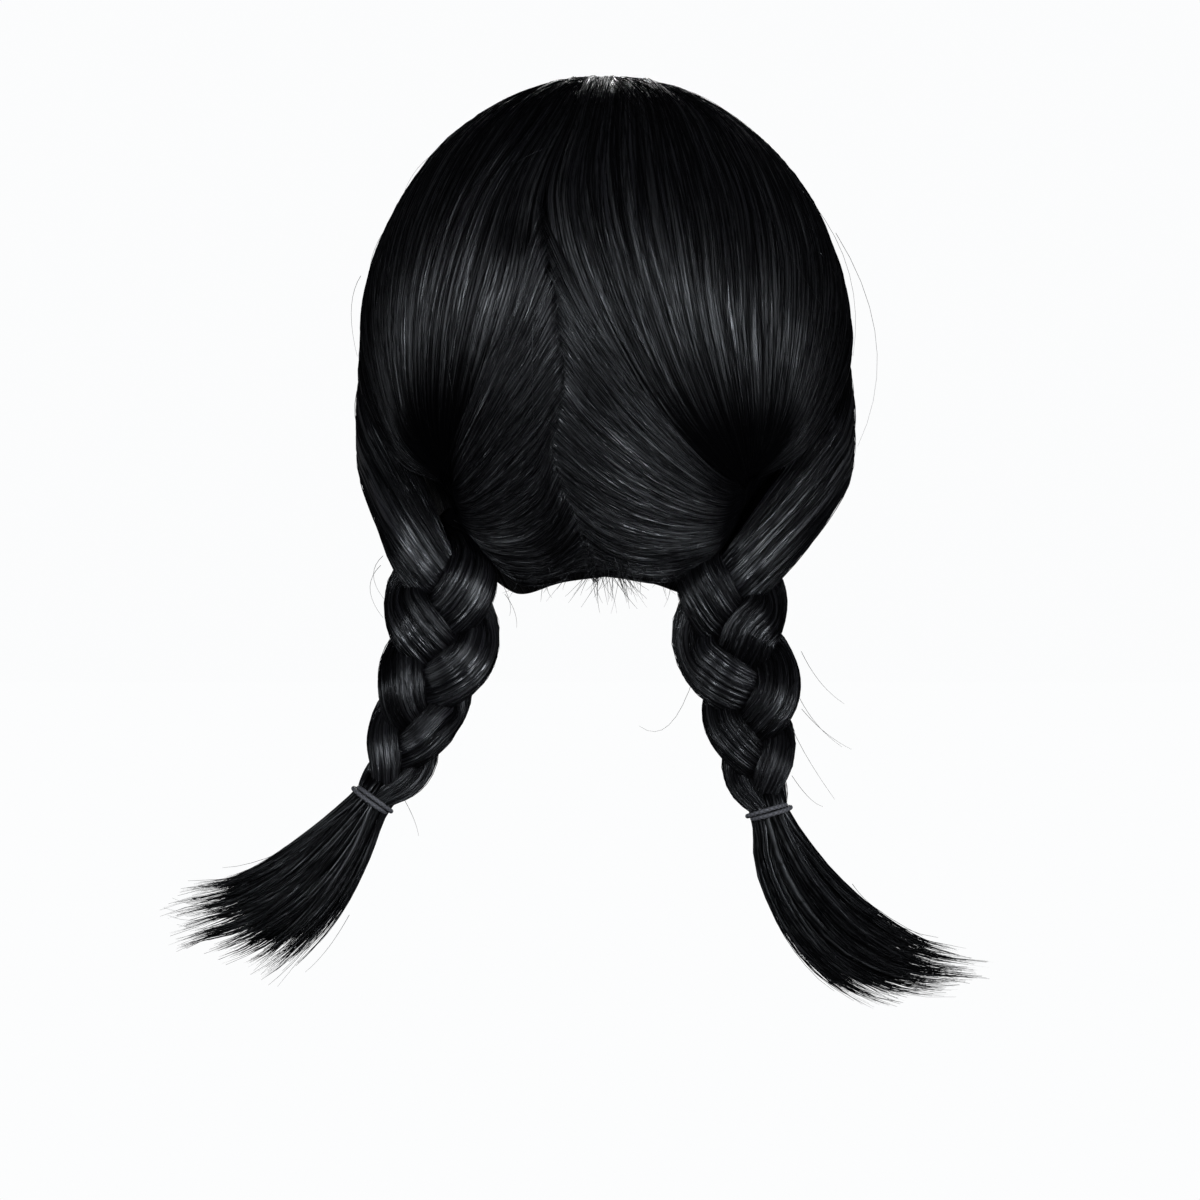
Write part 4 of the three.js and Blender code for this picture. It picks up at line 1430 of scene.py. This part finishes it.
@dataclass
class PlaitStrand(Piece):
    """One strand of a plait: a full body with ridges along it, and the loose hairs on its face."""

    form: PlaitForm
    strand: Strand
    around: int = 48
    steps: int = 100
    route_steps: int = 60
    lock_steps: int = 20
    root_taper: float = 0.45
    taper_run: float = 0.26
    lock_start: float = 0.1
    lock_taper: float = 0.45
    lock_grown: float = 0.22
    ease_before: int = 5
    ease_after: int = 8
    ease_rounds: int = 24
    corner: float = 0.86
    girth: float = 58.0
    ridges: Ridges = Ridges((6.0, 2.8), (0.5, 0.4), 60)
    ridge_start: float = 0.03
    fold_apart: float = 200.0
    streaks_apart: float = 90.0
    # Painted shade on the roots of the nape and side strands, where they come out from under the crown's
    # hair.
    root_shade_from: float = 0.06
    root_shade_to: float = 0.2
    fibres: int = 260
    fibre_steps: int = 14
    fibre_reach: Pair = (0.18, 0.45)
    fibre_angle: Pair = (-0.1, 1.1)
    fibre_drift: float = 0.1
    fibre_width: Pair = (0.1, 0.26)
    fibre_rise: Pair = (0.1, 0.3)
    fibre_thin: float = 0.3
    fibre_dip: float = 0.6
    fibre_gloss: float = 0.4

    def __post_init__(self) -> None:
        """Names the piece and its CAD node, and gives it a number of its own."""
        side = self.form.size.side
        self.name = f"{side.label}_plait_{self.strand.value}"
        self.nodes = (f"{side.label}_strand_{self.strand.value}",)
        self.number = 30 + 3 * (side is Side.LEFT) + list(Strand).index(self.strand)

    def _after_lock(self, stations: Stations) -> Stations:
        """The plait's stations with the front lock's before them, and the joint smoothed out."""
        share = np.linspace(0, 1, self.lock_steps)
        middle, face, wide, thick = self.form.lock(share)
        grown = self.lock_start + (1 - self.lock_start) * smoothstep(share, 0, self.lock_grown)
        middle = middle - face * (self.form.sizes.lock_thickness * 0.5 * (1 - grown))[:, None]
        lock = (middle, face, wide * (self.lock_taper + (1 - self.lock_taper) * grown), thick * grown)
        return tuple(self._eased(np.concatenate(pair)) for pair in zip(lock, stations))

    def _eased(self, values: np.ndarray) -> np.ndarray:
        """Values with the joint between the lock and the plait smoothed out."""
        join = self.lock_steps - 1
        part = values[join - self.ease_before: join + self.ease_after]
        for _ in range(self.ease_rounds):
            part[1:-1] = 0.5 * part[1:-1] + 0.25 * (part[:-2] + part[2:])
        return values

    def _frame(self) -> None:
        """Works out the strand's evenly spaced stations and its own ways aside and up."""
        row = STRAND_ROWS[self.strand]
        run = np.linspace(row.root, self.form.sizes.strand_end, self.route_steps)
        centre, face, wide, thick = self.form.weave(row, run)
        if self.strand is Strand.FRONT:
            centre, face, wide, thick = self._after_lock((centre, face, wide, thick))
        else:
            grown = smoothstep(run, row.root, row.root + self.taper_run)
            grown = self.root_taper + (1 - self.root_taper) * grown
            wide, thick = wide * grown, thick * grown
        length = run_of(np.linalg.norm(np.diff(centre, axis=0), axis=1))
        self.length = np.linspace(0, length[-1], self.steps)
        self.centre, face = (np.stack([np.interp(self.length, length, column) for column in values.T], 1)
                             for values in (centre, face))
        self.wide, self.thick = (np.interp(self.length, length, values) for values in (wide, thick))
        tangent = unit(np.gradient(self.centre, axis=0))
        self.aside = unit(np.cross(unit(face), tangent))
        self.up = np.cross(tangent, self.aside)

    def _face(self, angle: np.ndarray, place: np.ndarray) -> tuple[np.ndarray, np.ndarray]:
        """Points on the strand and the ways they look.

        Args:
            angle: Angles round the strand.
            place: Shares of its length.

        Returns:
            The points and the ways.
        """
        at = np.clip(place, 0, 1) * (self.steps - 1)
        i = np.minimum(at.astype(int), self.steps - 2)
        v = (at - i)[..., None]
        centre, aside, up = (values[i] * (1 - v) + values[i + 1] * v
                             for values in (self.centre, self.aside, self.up))
        wide, thick = (np.interp(at, np.arange(self.steps), values) for values in (self.wide, self.thick))
        c, s = np.cos(angle), np.sin(angle)
        across = np.sign(c) * np.abs(c) ** self.corner * wide
        over = np.sign(s) * np.abs(s) ** self.corner * thick
        points = centre + aside * across[..., None] + up * over[..., None]
        return points, unit(aside * (c / wide)[..., None] + up * (s / thick)[..., None])

    def build(self, material: bpy.types.Material) -> bpy.types.Object:
        """Builds the strand.

        Args:
            material: The hair's finish.

        Returns:
            One mesh of the body and its hairs.
        """
        self._frame()
        angle, place = np.meshgrid(np.linspace(0, 2 * math.pi, self.around, endpoint=False),
                                   np.linspace(0, 1, self.steps))
        points, looks = self._face(angle, place)
        fold = np.minimum(angle, 2 * math.pi - angle) / math.pi * self.girth / 2
        fold = fold * np.where(angle > math.pi, -1, 1) + self.fold_apart
        bumps = Relief(SEED + self.number, self.ridges).at(fold, place * self.length[-1])
        points = points + looks * (bumps * smoothstep(place, 0, self.ridge_start))[..., None]
        # Painted shade: the nape and side strands are near black at their roots and rise to full gloss.
        gloss = np.ones(self.steps)
        if self.strand is not Strand.FRONT:
            gloss = smoothstep(place[:, 0], self.root_shade_from, self.root_shade_to)
        across = np.linspace(0, self.girth, self.around + 1) + self.streaks_apart * self.number
        data = MeshData()
        add_tube(data, points, across, self.length, gloss)
        self._lay_fibres(data)
        return self.dress(data, material)

    def _lay_fibres(self, data: MeshData) -> None:
        """Lays hairs along the strand's face, each of which dips into it at both ends."""
        rng = np.random.default_rng(SEED + self.number)
        n = self.fibres
        tau = np.linspace(0, 1, self.fibre_steps)[None]
        length = rng.uniform(*self.fibre_reach, n)[:, None]
        start = rng.uniform(0, 1, n)[:, None] * (1 - length)
        angle = rng.uniform(*self.fibre_angle, n)[:, None] * math.pi
        angle = angle + rng.normal(0, self.fibre_drift, n)[:, None] * tau
        points, looks = self._face(angle, start + length * tau)
        rise = np.abs(rng.normal(*self.fibre_rise, n))[:, None]
        points = points + looks * arched(tau, self.fibre_dip, rise)[..., None]
        wide = rng.uniform(*self.fibre_width, n)[:, None] * swollen(tau, self.fibre_thin)
        add_fibres(data, points, looks, wide, wide * FIBRE_FLAT, shades(rng, n), self.fibre_gloss)


@dataclass
class Elastic(Piece):
    """The elastic: one loop wound twice, its turns side by side at the back."""

    form: PlaitForm
    steps: int = 220
    sides: int = 14
    slot: str = "elastic"

    def __post_init__(self) -> None:
        """Names the piece and its CAD node."""
        self.name = f"{self.form.size.side.label}_elastic"
        self.nodes = (f"{self.form.size.side.label}_tie",)

    def build(self, material: bpy.types.Material) -> bpy.types.Object:
        """Builds the loop.

        Args:
            material: The elastic's finish.

        Returns:
            One closed mesh.
        """
        p = self.form.sizes
        centre, down, back, out = (v[0] for v in self.form.middle(1.0))
        radius = p.elastic / 2
        spacing = radius + p.clearance / 2
        inner = p.bundle - p.squeeze + radius + p.clearance + spacing / 4
        angle = 4 * math.pi * np.arange(self.steps) / self.steps + math.pi / 2
        half = angle / 2 + math.pi / 4
        reach = inner + spacing * (np.cos(half) ** 2 + np.cos(half))
        line = (centre + out * (reach * np.cos(angle))[:, None] + back * (reach * np.sin(angle))[:, None]
                + down * (spacing * np.sin(half))[:, None])
        tangent = unit(np.roll(line, -1, 0) - np.roll(line, 1, 0))
        aside = unit(np.cross(tangent, down))
        up = np.cross(tangent, aside)
        ring = 2 * math.pi * np.arange(self.sides) / self.sides
        points = (line[:, None] + aside[:, None] * (radius * np.cos(ring))[None, :, None]
                  + up[:, None] * (radius * np.sin(ring))[None, :, None])
        faces, places = grid_faces(self.steps + 1, self.sides, True)
        faces = faces % (self.steps * self.sides)
        coords = np.stack([places[..., 1] * 2 * math.pi * radius / self.sides,
                           places[..., 0] * 4 * math.pi * inner / self.steps, np.ones(places.shape[:-1])], -1)
        data = MeshData()
        data.add(points, faces, coords)
        return self.dress(data, material)


@dataclass
class Tail(Piece):
    """The loose end of a plait: locks that leave the elastic together and fray towards their tips."""

    form: PlaitForm
    clumps: int = 30
    hairs: int = 5
    steps: int = 12
    clump_sides: int = 5
    gloss: float = 0.62
    swell: float = 1.9
    above: float = -0.09
    turn_share: float = 0.15
    open_share: float = 0.3
    wide_share: float = 0.2
    deep_share: float = 0.62
    through_share: float = 0.8
    tip_share: float = 0.03
    pinch: float = 0.24
    pinch_run: float = 0.03
    clump_turn: float = 0.382
    clump_fill: float = 0.88
    clump_reach: Pair = (0.82, 1.12)
    clump_size: Pair = (0.17, 0.31)
    clump_bend: Pair = (1.3, 1.0)
    clump_out: float = 0.25
    bend_late: float = 2.2
    taper_run: float = 0.55
    taper_curve: float = 0.75
    oval_wide: float = 1.15
    oval_thick: float = 0.85
    hair_spread: float = 1.9
    hair_width: Pair = (0.12, 0.28)
    hair_over: float = 4.5
    calm: float = 0.7
    wild: float = 2.2
    wild_share: float = 0.2

    def __post_init__(self) -> None:
        """Names the piece and its CAD node."""
        self.name = f"{self.form.size.side.label}_tail_hair"
        self.nodes = (f"{self.form.size.side.label}_tail",)

    def _lean(self, run: np.ndarray) -> np.ndarray:
        """The tail's middle line from its top, which goes on straight past both ends."""
        s = self.form.size
        first, before, last = s.tail[1], s.tail[-2], s.tail[-1]
        kept = np.clip(run, 0.0, 1.0)
        over = np.maximum(run - 1, 0) / (last.run - before.run)
        under = np.minimum(run, 0) / first.run
        out = along(s.tail, "out", kept) + over * (last.out - before.out) + under * first.out
        down = along(s.tail, "down", kept) + over * (last.down - before.down) + under * first.down
        out, down = s.side.value * s.tail_length * out, -s.tail_length * down
        return np.stack([out, np.zeros(np.shape(run)), down], -1)

    def _lock(self, lock: TailLock, run: np.ndarray) -> Stations:
        """A lock's stations.

        Args:
            lock: The lock's row.
            run: Shares of the tail's length.

        Returns:
            Its middles, its ways aside, its half widths and its half depths.
        """
        p, s = self.form.sizes, self.form.size
        top, first_down, back, _ = (v[0] for v in self.form.middle(1.0))
        heading = unit(self._lean(run + p.step) - self._lean(run - p.step))
        turn = smoothstep(run, 0, self.turn_share)[..., None]
        down = unit(first_down * (1 - turn) + heading * turn)
        out = unit(np.cross(back, down) * -s.side.value)
        opened = smoothstep(run, s.tail[1].run, self.open_share)
        spread = s.tail_width * along(s.tail, "fan", np.clip(run, 0, 1)) + 2 * self.swell * (1 - opened)
        slim = 1 - (1 - self.tip_share) * np.maximum(run, 0) / lock.reach
        slim = np.sqrt(np.clip(slim, self.tip_share, 1))
        bundle = p.bundle + self.swell
        deep = bundle + (p.tail_depth / 2 - bundle) * opened
        wide = (bundle / 2 + (self.wide_share * spread * lock.thick - bundle / 2) * opened) * slim
        thick = (bundle / 2 + (self.deep_share * deep * lock.thick - bundle / 2) * opened) * slim
        pinch = 1 - self.pinch * np.exp(-(run / self.pinch_run) ** 2)
        middle = top + self._lean(run) + out * (-lock.across * pinch * (spread / 2 - wide))[..., None]
        through = lock.through * pinch * (deep - thick) * self.through_share
        return middle + back * through[..., None], out * -s.side.value, wide, thick

    def build(self, material: bpy.types.Material) -> bpy.types.Object:
        """Builds the tail.

        Args:
            material: The hair's finish.

        Returns:
            One mesh of the locks' clumps and hairs.
        """
        data = MeshData()
        rng = np.random.default_rng(TAIL_SEED + self.form.size.side.value)
        for lock in TAIL_LOCKS:
            body, looks, size = self._lay_clumps(data, rng, lock)
            self._lay_hairs(data, rng, body, looks, size)
        return self.dress(data, material)

    def _lay_clumps(
        self, data: MeshData, rng: np.random.Generator, lock: TailLock,
    ) -> tuple[np.ndarray, np.ndarray, np.ndarray]:
        """Lays a lock's clumps, each a tapered body.

        Args:
            data: The mesh to add to.
            rng: The draw of random numbers.
            lock: The lock's row.

        Returns:
            The clumps' middles, the ways they look and their sizes.
        """
        n = self.clumps
        tau = np.linspace(0, 1, self.steps)[None]
        turn = 2 * math.pi * (np.arange(n) * self.clump_turn + rng.uniform(-0.03, 0.03, n))[:, None]
        radius = (np.sqrt((np.arange(n) + 0.3) / n) * self.clump_fill)[:, None]
        reach = lock.reach * rng.uniform(*self.clump_reach, n)[:, None]
        middle, side, wide, thick = self._lock(lock, self.above + (reach - self.above) * tau)
        bend = rng.normal(0, 1.0, (n, 1, 2)) * np.array(self.clump_bend) * (tau ** self.bend_late)[..., None]
        body = middle + side * (wide * radius * np.cos(turn) + bend[..., 0])[..., None]
        body = body + BACK * (thick * radius * np.sin(turn) + bend[..., 1])[..., None]
        looks = unit(side * np.cos(turn)[..., None] + BACK * (np.sin(turn)[..., None] + self.clump_out))
        taper = np.clip((1 - tau) / self.taper_run, 0, 1) ** self.taper_curve
        size = np.minimum(wide, thick * 1.25) * rng.uniform(*self.clump_size, n)[:, None]
        size = size * (self.tip_share + (1 - self.tip_share) * taper)
        add_fibres(data, body, looks, size * self.oval_wide, size * self.oval_thick, shades(rng, n),
                   self.gloss, self.clump_sides)
        return body, looks, size

    def _lay_hairs(
        self, data: MeshData, rng: np.random.Generator, body: np.ndarray, looks: np.ndarray, size: np.ndarray,
    ) -> None:
        """Lays hairs on clumps, which leave them near their tips.

        Args:
            data: The mesh to add to.
            rng: The draw of random numbers.
            body: The clumps' middles.
            looks: The ways they look.
            size: Their sizes.
        """
        m, count = self.steps, self.clumps * self.hairs
        tau = np.linspace(0, 1, m)[None]
        late = tau ** self.bend_late
        row = np.repeat(np.arange(self.clumps), self.hairs)[:, None]
        start = np.where(rng.uniform(0, 1, count) < 0.45, 0.0, rng.uniform(0, 0.6, count))[:, None]
        stop = rng.uniform(0.8, 1.0, count)[:, None]
        place = (start + (stop - start) * tau) * (m - 1)
        i = np.clip(place.astype(int), 0, m - 2)
        v = (place - i)[..., None]
        base, face, own = (values[row, i] * (1 - v) + values[row, i + 1] * v
                           for values in (body, looks, size[..., None]))
        face, heading = unit(face), np.gradient(base, axis=1)
        angle = rng.uniform(-self.hair_spread, self.hair_spread, count)[:, None]
        beside = unit(np.cross(face, heading))
        bulge = own[..., 0] * rng.uniform(0.85, 1.12, count)[:, None]
        stray = rng.normal(0, 1.0, (count, 2))
        wild = rng.choice([self.calm, self.wild], count, p=[1 - self.wild_share, self.wild_share])
        stray = stray * wild[:, None]
        aside = bulge * self.oval_wide * np.sin(angle) + stray[:, :1] * late
        above = bulge * self.oval_thick * np.cos(angle) + stray[:, 1:] * 0.6 * late
        paths = base + beside * aside[..., None] + face * above[..., None]
        over = rng.uniform(0, self.hair_over, count)[:, None] * late
        paths = paths + unit(heading) * over[..., None]
        slim = rng.uniform(*self.hair_width, count)[:, None] * (1 - 0.7 * tau ** 2)
        aim = unit(face * np.cos(angle)[..., None] + beside * np.sin(angle)[..., None])
        add_fibres(data, paths, aim, slim, slim * FIBRE_FLAT, shades(rng, count), self.gloss)


@dataclass
class LooseHair(Piece):
    """Short hairs at the nape, fly-aways over the crown, a fan at its top and a few long strays."""

    form: CrownForm
    steps: int = 10
    nape_hairs: int = 130
    middle_share: float = 0.55
    middle_turn: Pair = (-1, 5)
    middle_reach: Pair = (7, 19)
    nape_turn: Pair = (-40, 42)
    nape_above: Pair = (0.5, 6)
    nape_reach: Pair = (4, 9)
    nape_aside: float = 0.8
    nape_sway: float = 0.25
    nape_back: Pair = (-0.25, 0.3)
    nape_width: Pair = (0.1, 0.2)
    nape_sink: float = 1.0
    nape_curl: float = 2.2
    nape_bow: float = 1.5
    nape_taper: float = 0.75
    loose_taper: float = 0.6
    stray_width: float = 0.12
    stray_apart: float = 37.0
    name: str = "loose_hair"

    def build(self, material: bpy.types.Material) -> bpy.types.Object:
        """Builds them all.

        Args:
            material: The hair's finish.

        Returns:
            One mesh of many hairs.
        """
        data = MeshData()
        rng = np.random.default_rng(LOOSE_SEED)
        self._lay_nape(data, rng)
        for row in (FLY_AWAYS, TOP_FAN):
            self._lay_crown(data, rng, row)
        self._lay_strays(data)
        return self.dress(data, material)

    def _lay_nape(self, data: MeshData, rng: np.random.Generator) -> None:
        """Lays the short hairs that hang below the nape's hairline."""
        n = self.nape_hairs
        tau = np.linspace(0, 1, self.steps)[None]
        middle = rng.uniform(0, 1, n) < self.middle_share
        turn = np.where(middle, rng.normal(*self.middle_turn, n), rng.uniform(*self.nape_turn, n))
        tilt = self.form.hairline(turn) - rng.uniform(*self.nape_above, n)
        face = self.form.outer(turn, tilt)
        root = face - self.form.outward(face) * self.nape_sink
        reach = np.where(middle, rng.uniform(*self.middle_reach, n), rng.uniform(*self.nape_reach, n))
        lean = np.sign(turn) * rng.uniform(0.0, self.nape_aside, n) + rng.normal(0, self.nape_sway, n)
        way = unit(np.stack([lean, rng.uniform(*self.nape_back, n), -np.ones(n)], -1))
        curl = rng.normal(0, self.nape_curl, n)[:, None]
        bent = np.stack(np.broadcast_arrays(curl * tau**2, -self.nape_bow * tau**2, 0.0), -1)
        paths = root[:, None] + way[:, None] * (reach[:, None] * tau)[..., None] + bent
        slim = rng.uniform(*self.nape_width, n)[:, None] * (1 - self.nape_taper * tau)
        looks = np.broadcast_to(BACK, paths.shape)
        add_fibres(data, paths, looks, slim, slim * FIBRE_FLAT, shades(rng, n))

    def _lay_crown(self, data: MeshData, rng: np.random.Generator, row: LooseRow) -> None:
        """Lays hairs that stand a little off the crown.

        Args:
            data: The mesh to add to.
            rng: The draw of random numbers.
            row: The kind of hair.
        """
        n = row.count
        tau = np.linspace(0, 1, self.steps)[None]
        turn = rng.uniform(-row.turn, row.turn, n)[:, None] + rng.normal(0, row.sway, n)[:, None] * tau
        tilt = rng.uniform(*row.tilt, n)[:, None] + rng.uniform(*row.reach, n)[:, None] * tau
        face = self.form.outer(turn, tilt)
        outward = self.form.outward(face)
        rise = np.abs(rng.normal(0, row.rise, n))[:, None] * np.sin(math.pi * tau) ** row.arch
        points = face + outward * (row.lift + rise - row.dip * (2 * tau - 1) ** 6)[..., None]
        slim = rng.uniform(*row.width, n)[:, None] * (1 - self.loose_taper * tau)
        add_fibres(data, points, outward, slim, slim * LOOSE_FLAT, shades(rng, n), row.gloss)

    def _lay_strays(self, data: MeshData) -> None:
        """Lays the long strays of the table."""
        tau = np.linspace(0, 1, self.steps)[:, None]
        start, middle, end = np.array(STRAYS, float).transpose(1, 0, 2)[:, :, None]
        bow = 2 * middle - (start + end) / 2
        paths = start * (1 - tau) ** 2 + bow * 2 * tau * (1 - tau) + end * tau**2
        slim = np.broadcast_to(self.stray_width * (1 - self.loose_taper * tau[:, 0]), paths.shape[:2])
        looks = np.broadcast_to(BACK, paths.shape)
        add_fibres(data, paths, looks, slim, slim * LOOSE_FLAT, np.arange(len(STRAYS)) * self.stray_apart)


@dataclass(frozen=True)
class Studio:
    """The floor, the lights and the camera at the photo's angle."""

    frame_width: float = 0.504
    distance: float = 4.0
    aim_x: float = 0.0023
    aim_z: float = -0.2065
    plane_y: float = 0.03
    sensor: float = 36.0
    far: float = 200.0
    floor_level: float = -0.5
    floor_size: float = 60.0
    room_seen: Quad = (0.97, 0.975, 0.98, 1)
    room_felt: Quad = (0.94, 0.97, 1.0, 1)
    room_strength: float = 0.03

    def build(self) -> None:
        """Builds them all."""
        self._camera()
        self._floor()
        self._room()
        for row in SUNS:
            self._sun(row)
        bpy.context.scene.view_settings.view_transform = "Standard"

    def _camera(self) -> None:
        """The camera, level behind the wig, on a long lens."""
        camera = bpy.data.cameras.new("camera")
        camera.sensor_width = self.sensor
        camera.lens = self.sensor * self.distance / self.frame_width
        camera.clip_end = self.far
        holder = bpy.data.objects.new("camera", camera)
        holder.location = (self.aim_x, self.plane_y + self.distance, self.aim_z)
        holder.rotation_euler = (math.radians(90), 0.0, math.radians(180))
        bpy.context.scene.collection.objects.link(holder)
        bpy.context.scene.camera = holder

    def _floor(self) -> None:
        """A wide plain floor."""
        bpy.ops.object.select_all(action="DESELECT")
        bpy.ops.mesh.primitive_plane_add(size=self.floor_size, location=(0, 0, self.floor_level))
        floor = bpy.context.object
        floor.name = "floor"
        floor.data.materials.append(PaperFinish().material())

    def _room(self) -> None:
        """A pale room that the camera sees bright and the hair mirrors dimly."""
        world = bpy.data.worlds.new("room")
        world.use_nodes = True
        nodes, links = world.node_tree.nodes, world.node_tree.links
        nodes.clear()
        path = nodes.new("ShaderNodeLightPath")
        seen, felt = nodes.new("ShaderNodeBackground"), nodes.new("ShaderNodeBackground")
        seen.inputs["Color"].default_value = self.room_seen
        felt.inputs["Color"].default_value = self.room_felt
        felt.inputs["Strength"].default_value = self.room_strength
        mix, output = nodes.new("ShaderNodeMixShader"), nodes.new("ShaderNodeOutputWorld")
        links.new(path.outputs["Is Camera Ray"], mix.inputs[0])
        links.new(felt.outputs[0], mix.inputs[1])
        links.new(seen.outputs[0], mix.inputs[2])
        links.new(mix.outputs[0], output.inputs["Surface"])
        bpy.context.scene.world = world

    def _sun(self, row: SunRow) -> None:
        """A soft far light."""
        light = bpy.data.lights.new(row.name, "SUN")
        light.energy = row.strength
        light.angle = math.radians(row.angle)
        holder = bpy.data.objects.new(row.name, light)
        holder.rotation_euler = (math.radians(-(90 - row.height)), 0.0, math.radians(-row.aside))
        bpy.context.scene.collection.objects.link(holder)


def main() -> None:
    """Builds the wig and its studio."""
    Studio().build()
    # The nape's and the plaits' finishes are brighter copies of the hair's: painted light.
    hair, nape, plaited = HairFinish().material(), LIT_NAPE_FINISH.material(), LIT_PLAIT_FINISH.material()
    elastic = ElasticFinish().material()
    crown = CrownForm(HeadSizes())
    Cap(crown).build(hair)
    for seed, size in enumerate(SIDES.values(), 1):
        form = PlaitForm(crown, PlaitSizes(), size)
        CrownHair(crown, size.side, "nape", size.nape_guides, seed, down_steps=48).build(nape)
        CrownHair(crown, size.side, "top", size.top_guides, seed + 3, lift=0.9, outer_late=0.13,
                  edge_dive=2.2).build(hair)
        for strand in Strand:
            PlaitStrand(form, strand).build(plaited)
        Elastic(form).build(elastic)
        Tail(form).build(hair)
    LooseHair(crown).build(hair)


if __name__ == "__main__":
    main()
